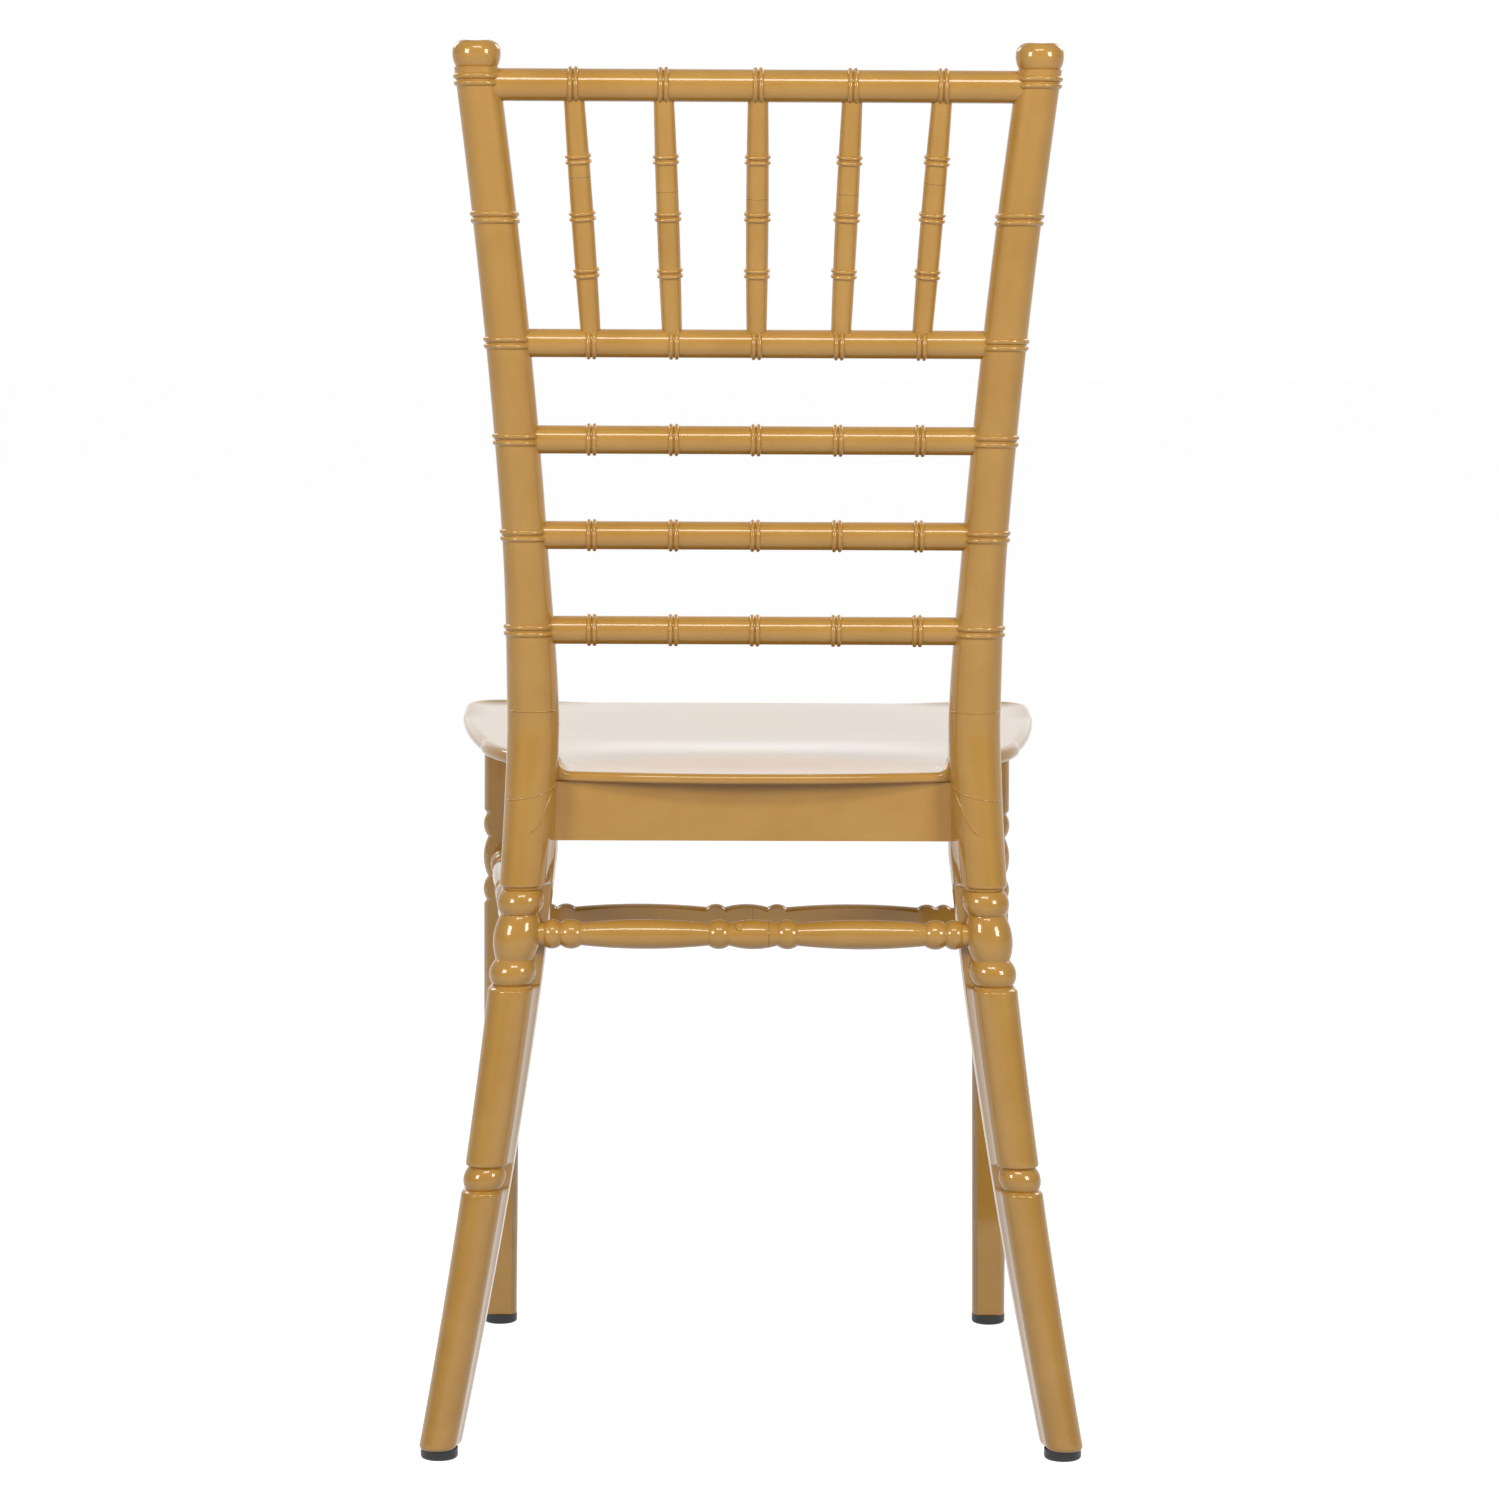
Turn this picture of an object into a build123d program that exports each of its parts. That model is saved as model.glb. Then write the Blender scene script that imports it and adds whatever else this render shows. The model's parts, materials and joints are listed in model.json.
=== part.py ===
"""Resin banquet chair: turned posts and legs, a ladder back with five spindles, a moulded seat.

Millimetres. X points to the sitter's left, Y to the rear and Z up. The origin is on the floor,
under the middle of the whole chair. Every member is a separate moulding: round members end in
spigots bonded into sockets, rails under the seat end in tenons, and feet and finials plug in.
"""

import os
from math import asin, cos, degrees, pi, radians, sin, tan

from build123d import *

os.makedirs("parts", exist_ok=True)

# Overall
overall_depth = 449.0          # front of the seat to the rear of the finials
post_top_height = 902.8        # where the finials sit
seat_rear_height = 449.0       # upper edge of the seat between the posts
waist_rise = 31.0              # above that edge, where the two posts stand closest
foot_height = 7.0              # part of a foot that shows under the leg

# Course of the rear posts, measured at the axis of their round rear
top_half_spacing = 178.3
waist_half_spacing = 144.3
foot_half_spacing = 205.8
back_rake = 50.0               # the axis runs back this far from the waist to the top
leg_rake = 41.0                # and this far from the waist to the foot
back_spread_power = 1.53       # above 1, the spread grows towards the end
leg_spread_power = 1.45
back_rake_power = 1.2
leg_rake_power = 1.1

# Section of the rear posts: round at the rear, with a flat flange in front
post_top_radius = 13.6
leg_radius = 15.0              # above and below the turned group
leg_foot_radius = 12.3
hip_swell = 2.2                # the post is thicker beside the seat
hip_swell_reach = 130.0
hip_station_share = 0.35       # of that reach, where the hip is set out above the waist
flange_top_depth = 13.0        # from the axis to the flat front
flange_waist_depth = 24.0
flange_foot_depth = 20.0
flange_back_spread = 1.0       # the flange stands this far inside the round rear
flange_leg_spread = 5.9        # widest, just under the apron
flange_foot_spread = 3.3
flange_start_drop = 12.0       # below the rear edge of the seat, where it starts to widen
flange_widest_drop = 9.0       # below the apron
flange_draft = 1.5
flange_corner_radius = 4.0
flank_depth_share = 0.42       # of the flange's depth, where the flank turns into its side
flank_share = 0.7              # of the spread that the flank takes

# Turned group on every leg: bead, vase, bead
rear_turning_drop = 75.0       # below the rear edge of the seat
front_turning_drop = 69.0
turning_gap = 1.0              # neck between a shaft and the group
turning_bead = 16.6
turning_vase = 29.4
turning_bead_swell = 0.4       # beads and vase stand proud of the shaft
turning_waist = 2.9            # necks lie inside the shaft
turning_end_waist = 1.7
shoulder = 2.5                 # length of the rounded end of a shaft
shoulder_drop = 5.0            # the shaft goes on under the turning, this far inside
# Single bead on the lower rear leg
ankle_height = 184.2
ankle_bead = 14.8
ankle_waist = 2.5

# Double rings on rails and spindles, and heavier ones on the posts
ring_bead_radius = 1.5
ring_pitch = 3.6
ring_proud = 1.4
post_ring_bead_radius = 1.9
post_ring_pitch = 4.4
post_ring_proud = 1.5
post_ring_wrap = 30.0          # degrees that a post's ring runs on round its sides
crest_ring_drop = 7.9          # below the finial
middle_ring_drop = 94.1

# Back rails and spindles
crest_rail_drop = 10.6         # below the finial
crest_rail_radius = 10.4
spindle_rail_drop = 173.9      # below the finial
lowest_rail_rise = 62.6        # above the waist of the posts
ladder_rail_count = 3
rail_radius = 9.2
rail_ring_spacing = 53.0
spindle_top_places = (117.3, 60.1, 0.0)     # from the middle of the crest rail
spindle_bottom_places = (106.0, 54.0, 0.0)  # from the middle of the spindle rail
spindle_end_radius = 6.4
spindle_middle_radius = 7.3
spindle_ring_count = 3

# Bonded joints
spigot_radius = 6.0
spindle_spigot_radius = 4.0
stretcher_spigot_radius = 5.0
spigot_overrun = 3.0           # past the axis of the post
spindle_spigot_depth = 5.0     # inside the rail, short of its axis
fit = 0.15                     # bond line round a spigot or a tenon
bond_line = 0.1                # between a member and the surface it is cut to

# Finials and feet
finial_radius = 15.4
finial_height = 17.3
finial_corner = 7.5
finial_belly = 0.8             # the side bows out between the neck and the corner
finial_dip = 0.9
finial_dip_radius = 45.0
finial_neck = 0.7              # step in under the finial
finial_plug_radius = 4.5
finial_plug_wall = 1.5         # between the plug and the crest rail's spigots
finial_plug_length = 14.0
foot_radius = 12.2
foot_edge = 2.0
foot_plug_radius = 4.5
foot_plug_length = 22.0
rear_foot_inset = 1.0          # towards the middle of the chair from the leg axis
rear_foot_advance = 4.5        # forward from the leg axis

# Front legs
front_top_half_spacing = 178.5
front_foot_half_spacing = 181.0
front_leg_overhang = 32.0      # seat edge in front of the leg axis
front_leg_radius = 13.6
front_leg_foot_radius = 12.1
front_leg_back = 9.0           # flat back behind the axis
front_leg_trim = 1.0           # turned longer at both ends, then cut level

# Seat
seat_tilt = 1.5                # degrees, front edge higher
seat_thickness = 5.0
seat_rim_depth = 9.0
seat_wall = 5.0
seat_lip = 6.5                 # rear edge between the posts
seat_edge_radius = 4.0
seat_edge_steps = 3            # facets of that rounding
seat_front_overhang = 32.5     # front corners, before rounding, outside the axes of the front legs
seat_side_overhang = 8.0       # sides, where they turn in, outside the axes of the front legs
seat_side_setback = 168.0      # that turn, in front of the post axis
seat_hip_overhang = 5.7        # outside the post axis, in front of the posts
seat_hip_setback = 80.0        # in front of the post axis, where the sides start to widen
seat_hip_bow = 7.5             # the stretch between the two bows out
seat_corner_radius = 38.0
seat_front_bow = 7.0           # the front edge bows forward
seat_rear_bow = 17.0           # the rear edge bows back
seat_rear_inset = 5.0          # rear edge at the posts, in front of the post axis
seat_dish = 3.0
seat_dish_width = 330.0

# Rails under the seat
apron_depth = 45.6             # from the rear edge of the seat to the lower edge
apron_thickness = 8.0
rear_apron_advance = 11.0      # in front of the post axis
side_apron_inset = 6.0         # inside the post axis, clear of the rim of the seat
tenon_thickness = 4.0
tenon_height = 20.0
tenon_bottom = 8.0             # above the lower edge of the apron
rear_tenon_reach = 6.0         # tenons stop this far short of the axis
front_tenon_reach = 4.0

# Seat screws, through tabs on the front and rear aprons
screw_half_spacing = 85.0
tab_width = 22.0
tab_length = 22.0
tab_thickness = 5.0
boss_radius = 5.5
boss_height = 6.0
screw_radius = 2.0
screw_clearance = 0.2
screw_tip_depth = 2.0          # into the seat panel above the boss
screw_tip_gap = 0.5
screw_head_radius = 4.0
screw_head_height = 2.4
screw_recess_radius = 1.6
screw_recess_depth = 1.4

# Stretchers
rear_stretcher_rise = 1.6      # above the middle of the rear leg's turned group
front_stretcher_drop = 12.3    # below the front leg's turned group
stretcher_radius = 9.7
stretcher_neck_radius = 7.4
stretcher_centre = 31.5        # vase in the middle
stretcher_ball = 13.5
stretcher_bead = 11.0          # next to the leg
rear_stub = 28.5               # leg axis to the first ball
front_stub = 40.0
side_stub = 40.0
stretcher_back = 6.0           # flat back of the front stretcher, behind its axis
side_spigot_reach = 8.0        # short of the axis of the rear leg

# Places that follow from the sizes above
finial_y = overall_depth / 2 - finial_radius
seat_front_y = -overall_depth / 2
waist_y = finial_y - back_rake
front_leg_y = seat_front_y + front_leg_overhang
turning_length = 2 * turning_gap + 2 * turning_bead + turning_vase
waist_height = seat_rear_height + waist_rise
apron_bottom_height = seat_rear_height - apron_depth
flange_start = seat_rear_height - flange_start_drop
flange_widest = apron_bottom_height - flange_widest_drop
rear_turning_top = seat_rear_height - rear_turning_drop
rear_turning_bottom = rear_turning_top - turning_length
front_turning_top = seat_rear_height - front_turning_drop
front_turning_bottom = front_turning_top - turning_length
crest_rail_height = post_top_height - crest_rail_drop
spindle_rail_height = post_top_height - spindle_rail_drop
crest_ring_height = post_top_height - crest_ring_drop
middle_ring_height = post_top_height - middle_ring_drop
ladder_pitch = (spindle_rail_height - waist_height - lowest_rail_rise) / ladder_rail_count
ladder_rail_heights = [
    spindle_rail_height - ladder_pitch * (step + 1) for step in range(ladder_rail_count)
]
rail_heights = [spindle_rail_height] + ladder_rail_heights
post_ring_heights = rail_heights + [middle_ring_height, crest_ring_height]
seat_plane = Plane(
    origin=(0, waist_y, seat_rear_height),
    x_dir=(1, 0, 0),
    z_dir=(0, sin(radians(seat_tilt)), cos(radians(seat_tilt))),
)


def post_point(z):
    """Axis of the left rear post at a height."""
    if z >= waist_height:
        share = (z - waist_height) / (post_top_height - waist_height)
        spread = (top_half_spacing - waist_half_spacing) * share**back_spread_power
        rake = back_rake * share**back_rake_power
    else:
        share = (waist_height - z) / (waist_height - foot_height)
        spread = (foot_half_spacing - waist_half_spacing) * share**leg_spread_power
        rake = leg_rake * share**leg_rake_power
    return Vector(waist_half_spacing + spread, waist_y + rake, z)


def post_radius(z):
    """Radius of the round rear of the post at a height, without turnings."""
    if z < rear_turning_bottom:
        share = (z - foot_height) / (rear_turning_bottom - foot_height)
        return leg_foot_radius + (leg_radius - leg_foot_radius) * share
    share = (z - rear_turning_bottom) / (post_top_height - rear_turning_bottom)
    offset = min(abs(z - waist_height) / hip_swell_reach, 1)
    swell = hip_swell * (1 + cos(pi * offset)) / 2
    return leg_radius + (post_top_radius - leg_radius) * share + swell


def flange_depth(z):
    """Distance from the post axis to the flat front."""
    if z >= waist_height:
        share = (z - waist_height) / (post_top_height - waist_height)
        return flange_waist_depth + (flange_top_depth - flange_waist_depth) * share
    share = (waist_height - z) / (waist_height - foot_height)
    return flange_waist_depth + (flange_foot_depth - flange_waist_depth) * share


def flange_spread(z):
    """How far the flange stands inside the round rear of the post."""
    if z >= flange_start:
        return flange_back_spread
    if z >= flange_widest:
        share = (flange_start - z) / (flange_start - flange_widest)
        return flange_back_spread + (flange_leg_spread - flange_back_spread) * share
    share = (flange_widest - z) / (flange_widest - foot_height)
    return flange_leg_spread + (flange_foot_spread - flange_leg_spread) * share


def seat_underside(y):
    """Height of the underside of the seat panel."""
    fall = (y - waist_y) * tan(radians(seat_tilt))
    return seat_rear_height - fall - seat_thickness / cos(radians(seat_tilt))


def axis_plane(start, end):
    """Plane whose Y axis runs from start to end, for turned outlines."""
    along = (end - start).normalized()
    across = Vector(0, 0, 1) if abs(along.Z) < 0.5 else Vector(1, 0, 0)
    across = (across - along * across.dot(along)).normalized()
    return Plane(origin=start, x_dir=across, z_dir=across.cross(along))


def turned_length(start, end, first_radius, steps):
    """Turned solid between two points.

    Each step is a length, the radius at its end and the radius half way, or None for a straight one.
    """
    with BuildPart() as turning:
        with BuildSketch(axis_plane(start, end)):
            with BuildLine():
                Line((0, 0), (first_radius, 0))
                reach = 0
                radius = first_radius
                for length, end_radius, middle_radius in steps:
                    from_point = (radius, reach)
                    to_point = (end_radius, reach + length)
                    if middle_radius is None:
                        Line(from_point, to_point)
                    else:
                        ThreePointArc(from_point, (middle_radius, reach + length / 2), to_point)
                    reach += length
                    radius = end_radius
                Line((radius, reach), (0, reach))
                Line((0, reach), (0, 0))
            make_face()
        revolve(axis=Axis(start, end - start))
    return turning.part


def round_bar(start, end, radius):
    """Plain round bar between two points."""
    with BuildPart() as bar:
        with BuildSketch(Plane(origin=start, z_dir=end - start)):
            Circle(radius)
        extrude(amount=(end - start).length)
    return bar.part


def double_ring(centre, direction, radius):
    """Pair of rings round a member."""
    middle = Plane(origin=centre, z_dir=direction)
    with BuildPart() as rings:
        with Locations(middle.offset(-ring_pitch / 2), middle.offset(ring_pitch / 2)):
            Torus(radius + ring_proud - ring_bead_radius, ring_bead_radius)
    return rings.part


def mirrored(part):
    """The same piece on the other side of the chair."""
    with BuildPart() as other:
        mirror(part, about=Plane.YZ)
    return other.part


def trimmed(body, seats, core):
    """A member cut to the surfaces it meets, with its spigots or tenons added."""
    with BuildPart() as member:
        add(body)
        for seat_surface in seats:
            add(seat_surface, mode=Mode.SUBTRACT)
        add(core)
    return member.part


def finish(part, name):
    """Label a piece and write it."""
    part.label = name
    export_step(part, f"parts/{name}.step")


def post_run(stations, grow=0):
    """Left post through heights that each have an inset of the round rear: round behind, flat in front."""
    with BuildPart() as run:
        for z, inset in stations:
            rear = post_radius(z) - inset + grow
            inner = post_radius(z) + grow
            depth = flange_depth(z) + grow
            spread = flange_spread(z)
            with BuildSketch(Plane(origin=post_point(z))) as section:
                with BuildLine():
                    ThreePointArc((rear, 0), (0, rear), (-rear, 0))
                    Polyline(
                        (-rear, 0),
                        (-inner - flank_share * spread, -flank_depth_share * depth),
                        (-inner - spread, -depth),
                        (rear - flange_draft, -depth),
                        (rear, 0),
                    )
                make_face()
                fillet(section.vertices().group_by(Axis.Y)[0], flange_corner_radius)
        loft(ruled=True)
    return run.part


def turned_group(bottom, top, radius):
    """Bead, vase and bead on the axis from bottom to top, with necks that enter both shafts."""
    neck = radius - turning_waist
    end_neck = radius - turning_end_waist
    proud = radius + turning_bead_swell
    end_length = ((top - bottom).length - 2 * turning_bead - turning_vase) / 2
    steps = [
        (end_length, end_neck, None),
        (turning_bead, neck, proud),
        (turning_vase, neck, proud),
        (turning_bead, end_neck, proud),
        (end_length, end_neck, None),
    ]
    return turned_length(bottom, top, end_neck, steps)


# Stations of the rear post, from the foot to the top
ankle_top = ankle_height + ankle_bead / 2
ankle_bottom = ankle_height - ankle_bead / 2
ankle_radius = post_radius(ankle_height)
ankle_neck = ankle_radius - ankle_waist
hip_top = waist_height + hip_swell_reach * hip_station_share
back_heights = [rear_turning_top + shoulder, flange_widest, flange_start, waist_height, hip_top]
back_heights = sorted(back_heights + post_ring_heights + [post_top_height])
turned_stations = [(rear_turning_bottom, shoulder_drop), (rear_turning_top, shoulder_drop)]
leg_stations = [
    (foot_height, 0),
    (ankle_bottom - shoulder, 0),
    (ankle_bottom, shoulder_drop),
    (ankle_top, shoulder_drop),
    (ankle_top + shoulder, 0),
    (rear_turning_bottom - shoulder, 0),
]


def post_ring(z, rail_room):
    """Double ring round the rear of the left post, ending at the rail that meets the post there."""
    end = 180 + post_ring_wrap
    if rail_room > 0:
        end = 180 - degrees(asin(rail_room / post_radius(z)))
    start = radians(-post_ring_wrap)
    radial_plane = Plane(
        origin=post_point(z),
        x_dir=(cos(start), sin(start), 0),
        z_dir=(sin(start), -cos(start), 0),
    )
    bead_centre = post_radius(z) + post_ring_proud - post_ring_bead_radius
    bead_rise = post_ring_pitch / 2
    with BuildPart() as rings:
        with BuildSketch(radial_plane):
            with Locations((bead_centre, -bead_rise), (bead_centre, bead_rise)):
                Circle(post_ring_bead_radius)
        revolve(axis=Axis(post_point(z), (0, 0, 1)), revolution_arc=end + post_ring_wrap)
    return rings.part


def back_seats(low, high):
    """Both posts around two heights, grown by the bond line, to cut what meets them."""
    first = max(z for z in back_heights if z <= low)
    last = min([z for z in back_heights if z >= high], default=post_top_height)
    left = post_run([(z, 0) for z in back_heights if first <= z <= last], bond_line)
    return [left, mirrored(left)]


def rear_turning(grow=0):
    """Turned group of the rear leg on the chord of its axis."""
    low = post_point(rear_turning_bottom - shoulder)
    high = post_point(rear_turning_top + shoulder)
    return turned_group(low, high, leg_radius + grow)


# Rear post before its sockets: the run from foot to top, turned group, ankle bead and rings
post_core = post_run(leg_stations + turned_stations + [(z, 0) for z in back_heights])
rear_group = rear_turning()
ankle = turned_length(
    post_point(ankle_bottom - shoulder),
    post_point(ankle_top + shoulder),
    ankle_neck,
    [
        (shoulder, ankle_neck, None),
        (ankle_bead, ankle_neck, ankle_radius),
        (shoulder, ankle_neck, None),
    ],
)
post_rings = [post_ring(z, rail_radius + bond_line) for z in rail_heights]
post_rings.append(post_ring(middle_ring_height, 0))
post_rings.append(post_ring(crest_ring_height, crest_rail_radius + bond_line))
with BuildPart() as left_post_blank:
    add(post_core)
    add(rear_group)
    add(ankle)
    for rings in post_rings:
        add(rings)
grown_core = post_run(turned_stations, bond_line)
grown_group = rear_turning(bond_line)
with BuildPart() as left_leg_seat:
    add(grown_core)
    add(grown_group)
leg_seats = [left_leg_seat.part, mirrored(left_leg_seat.part)]

# Front leg before its sockets: turned, with a flat back
front_top_height = seat_underside(front_leg_y + front_leg_back) - bond_line


def front_leg_point(z):
    """Axis of the left front leg at a height."""
    share = (z - foot_height) / (front_top_height - foot_height)
    x = front_foot_half_spacing + (front_top_half_spacing - front_foot_half_spacing) * share
    return Vector(x, front_leg_y, z)


def front_leg_blank(grow=0):
    """Turned front leg, cut flat at the back and level at both ends."""
    radius = front_leg_radius + grow
    neck = radius - turning_end_waist
    waist = radius - turning_waist
    proud = radius + turning_bead_swell
    shaft_length = front_top_height + front_leg_trim - front_turning_top - shoulder
    calf_length = front_turning_bottom - shoulder - foot_height + front_leg_trim
    steps = [
        (calf_length, radius, None),
        (shoulder, neck, None),
        (turning_gap, neck, None),
        (turning_bead, waist, proud),
        (turning_vase, waist, proud),
        (turning_bead, neck, proud),
        (turning_gap, neck, None),
        (shoulder, radius, None),
        (shaft_length, radius, None),
    ]
    bottom = front_leg_point(foot_height - front_leg_trim)
    top = front_leg_point(front_top_height + front_leg_trim)
    turning = turned_length(bottom, top, front_leg_foot_radius + grow, steps)
    back_plane = Plane(origin=(0, front_leg_y + front_leg_back + grow, 0), z_dir=(0, 1, 0))
    with BuildPart() as leg:
        add(turning)
        split(bisect_by=back_plane, keep=Keep.BOTTOM)
        split(bisect_by=Plane.XY.offset(foot_height), keep=Keep.TOP)
        split(bisect_by=Plane.XY.offset(front_top_height), keep=Keep.BOTTOM)
    return leg.part


left_front_blank = front_leg_blank()
left_front_seat = front_leg_blank(bond_line)
front_seats = [left_front_seat, mirrored(left_front_seat)]


def both_sides(places):
    """Places from the sitter's left, with the outer ones repeated on the right."""
    return list(places) + [-place for place in reversed(places) if place > 0]


def rail_bar(middle, reach, radius, ring_places, grow=0):
    """Round back rail with its double rings."""
    bar = round_bar(middle - reach, middle + reach, radius + grow)
    ring_sets = [
        double_ring(middle + Vector(place, 0, 0), (1, 0, 0), radius + grow) for place in ring_places
    ]
    with BuildPart() as rail:
        add(bar)
        for rings in ring_sets:
            add(rings)
    return rail.part


# Back rails, cut to the posts, with spigots
crest_overrun = -finial_plug_radius - finial_plug_wall
crest_places = both_sides(spindle_top_places)
rail_places = [rail_ring_spacing * step for step in range(-2, 3)]
rail_plans = {
    "crest_rail": (crest_rail_height, crest_rail_radius, crest_places, crest_overrun),
    "spindle_rail": (spindle_rail_height, rail_radius, rail_places, spigot_overrun),
}
for number, z in enumerate(ladder_rail_heights, start=1):
    rail_plans[f"ladder_rail_{number}"] = (z, rail_radius, rail_places, spigot_overrun)
rails = {}
spindle_seats = []
post_sockets = []
for name, (z, radius, ring_places, overrun) in rail_plans.items():
    post = post_point(z)
    reach = Vector(post.X, 0, 0)
    middle = Vector(0, post.Y, z)
    bar = rail_bar(middle, reach, radius, ring_places)
    if name in ("crest_rail", "spindle_rail"):
        spindle_seats.append(rail_bar(middle, reach, radius, ring_places, bond_line))
    spigot_end = reach + Vector(overrun, 0, 0)
    core = round_bar(middle - spigot_end, middle + spigot_end, spigot_radius)
    socket_end = middle + spigot_end + Vector(fit, 0, 0)
    post_sockets.append(round_bar(middle, socket_end, spigot_radius + fit))
    rails[name] = trimmed(bar, back_seats(z - radius, z + radius), core)

# Spindles between the crest rail and the spindle rail, fanned out to the top
crest_y = post_point(crest_rail_height).Y
spindle_rail_y = post_point(spindle_rail_height).Y
spindle_sockets = []
spindle_places = zip(both_sides(spindle_bottom_places), crest_places)
for number, (bottom_place, top_place) in enumerate(spindle_places, start=1):
    bottom = Vector(bottom_place, spindle_rail_y, spindle_rail_height)
    top = Vector(top_place, crest_y, crest_rail_height)
    along = (top - bottom).normalized()
    length = (top - bottom).length
    visible = length - rail_radius - crest_rail_radius
    barrel_steps = [(length, spindle_end_radius, spindle_middle_radius)]
    barrel = turned_length(bottom, top, spindle_end_radius, barrel_steps)
    ring_sets = []
    for place in range(1, spindle_ring_count + 1):
        share = place / (spindle_ring_count + 1)
        centre = bottom + along * (rail_radius + visible * share)
        swell = (spindle_middle_radius - spindle_end_radius) * (1 - (2 * share - 1) ** 2)
        ring_sets.append(double_ring(centre, along, spindle_end_radius + swell))
    core_bottom = bottom + along * (rail_radius - spindle_spigot_depth)
    core_top = top - along * (crest_rail_radius - spindle_spigot_depth)
    core = round_bar(core_bottom, core_top, spindle_spigot_radius)
    socket = round_bar(
        core_bottom - along * fit, core_top + along * fit, spindle_spigot_radius + fit
    )
    spindle_sockets.append(socket)
    with BuildPart() as spindle_body:
        add(barrel)
        for rings in ring_sets:
            add(rings)
    finish(trimmed(spindle_body.part, spindle_seats, core), f"spindle_{number}")

for name, rail_blank in rails.items():
    with BuildPart() as back_rail:
        add(rail_blank)
        if name in ("crest_rail", "spindle_rail"):
            for socket in spindle_sockets:
                add(socket, mode=Mode.SUBTRACT)
    finish(back_rail.part, name)


def stretcher_steps(half_span, stub):
    """Turning of a stretcher from end to end: stub, bead, ball, vase, ball, vase and back again."""
    vase = half_span - stretcher_centre / 2 - 2 * stretcher_ball - stub
    neck = stretcher_neck_radius
    swell = stretcher_radius
    half = [
        (stub - stretcher_bead, neck, None),
        (stretcher_bead, neck, swell),
        (stretcher_ball, neck, swell),
        (vase, neck, swell),
        (stretcher_ball, neck, swell),
    ]
    return half + [(stretcher_centre, neck, swell)] + half[::-1]


# Rear stretcher
rear_group_middle = (rear_turning_bottom + rear_turning_top) / 2
rear_stretcher_height = rear_group_middle + rear_stretcher_rise
rear_leg_point = post_point(rear_stretcher_height)
rear_middle = Vector(0, rear_leg_point.Y, rear_stretcher_height)
rear_reach = Vector(rear_leg_point.X, 0, 0)
rear_spigot = rear_reach - Vector(stretcher_spigot_radius, 0, 0)
rear_stretcher_turning = turned_length(
    rear_middle - rear_reach,
    rear_middle + rear_reach,
    stretcher_neck_radius,
    stretcher_steps(rear_reach.X, rear_stub),
)
rear_core = round_bar(rear_middle - rear_spigot, rear_middle + rear_spigot, stretcher_spigot_radius)
finish(trimmed(rear_stretcher_turning, leg_seats, rear_core), "rear_stretcher")
post_sockets.append(
    round_bar(
        rear_middle, rear_middle + rear_spigot + Vector(fit, 0, 0), stretcher_spigot_radius + fit
    )
)

# Front stretcher, with a flat back like the front legs
front_stretcher_height = front_turning_bottom - front_stretcher_drop
front_middle = Vector(0, front_leg_y, front_stretcher_height)
front_reach = Vector(front_leg_point(front_stretcher_height).X, 0, 0)
front_turning = turned_length(
    front_middle - front_reach,
    front_middle + front_reach,
    stretcher_neck_radius,
    stretcher_steps(front_reach.X, front_stub),
)
front_core = round_bar(front_middle - front_reach, front_middle + front_reach, stretcher_spigot_radius)
with BuildPart() as front_stretcher:
    add(front_turning)
    split(
        bisect_by=Plane(origin=(0, front_leg_y + stretcher_back, 0), z_dir=(0, 1, 0)),
        keep=Keep.BOTTOM,
    )
finish(trimmed(front_stretcher.part, front_seats, front_core), "front_stretcher")
front_sockets = [
    round_bar(
        front_middle, front_middle + front_reach + Vector(fit, 0, 0), stretcher_spigot_radius + fit
    )
]

# Side stretchers, from the vase of the rear leg to the vase of the front leg
side_rear = post_point(rear_group_middle)
side_front = front_leg_point((front_turning_bottom + front_turning_top) / 2)
side_along = (side_front - side_rear).normalized()
side_turning = turned_length(
    side_rear,
    side_front,
    stretcher_neck_radius,
    stretcher_steps((side_front - side_rear).length / 2, side_stub),
)
side_core_start = side_rear + side_along * side_spigot_reach
side_core = round_bar(side_core_start, side_front, stretcher_spigot_radius)
side_socket = round_bar(
    side_core_start - side_along * fit, side_front + side_along * fit, stretcher_spigot_radius + fit
)
left_side_stretcher = trimmed(side_turning, [leg_seats[0], left_front_seat], side_core)
finish(left_side_stretcher, "side_stretcher_left")
finish(mirrored(left_side_stretcher), "side_stretcher_right")
post_sockets.append(side_socket)
front_sockets.append(side_socket)


def upright_board(start, end, thickness, bottom, start_top, end_top):
    """Board on edge between two points in plan, with its own height at each end."""
    along = (end - start).normalized()
    face = Plane(origin=start, x_dir=along, z_dir=along.cross(Vector(0, 0, 1)))
    span = (end - start).length
    with BuildPart() as board:
        with BuildSketch(face):
            with BuildLine():
                Polyline((0, bottom), (span, bottom), (span, end_top), (0, start_top), close=True)
            make_face()
        extrude(amount=thickness / 2, both=True)
    return board.part


def apron_pair(start, end, start_reach, end_reach, drop=0):
    """An apron body between two axes, its tenons, and the mortises that take them."""
    along = (end - start).normalized()
    tops = [seat_underside(point.Y + front_leg_back) - bond_line - drop for point in (start, end)]
    body = upright_board(start, end, apron_thickness, apron_bottom_height, *tops)
    low = apron_bottom_height + tenon_bottom
    high = low + tenon_height
    tenon_start = start + along * start_reach
    tenon_end = end - along * end_reach
    tenon = upright_board(tenon_start, tenon_end, tenon_thickness, low, high, high)
    slack = along * fit
    mortise = upright_board(
        tenon_start - slack,
        tenon_end + slack,
        tenon_thickness + 2 * fit,
        low - fit,
        high + fit,
        high + fit,
    )
    return body, tenon, mortise


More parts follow.
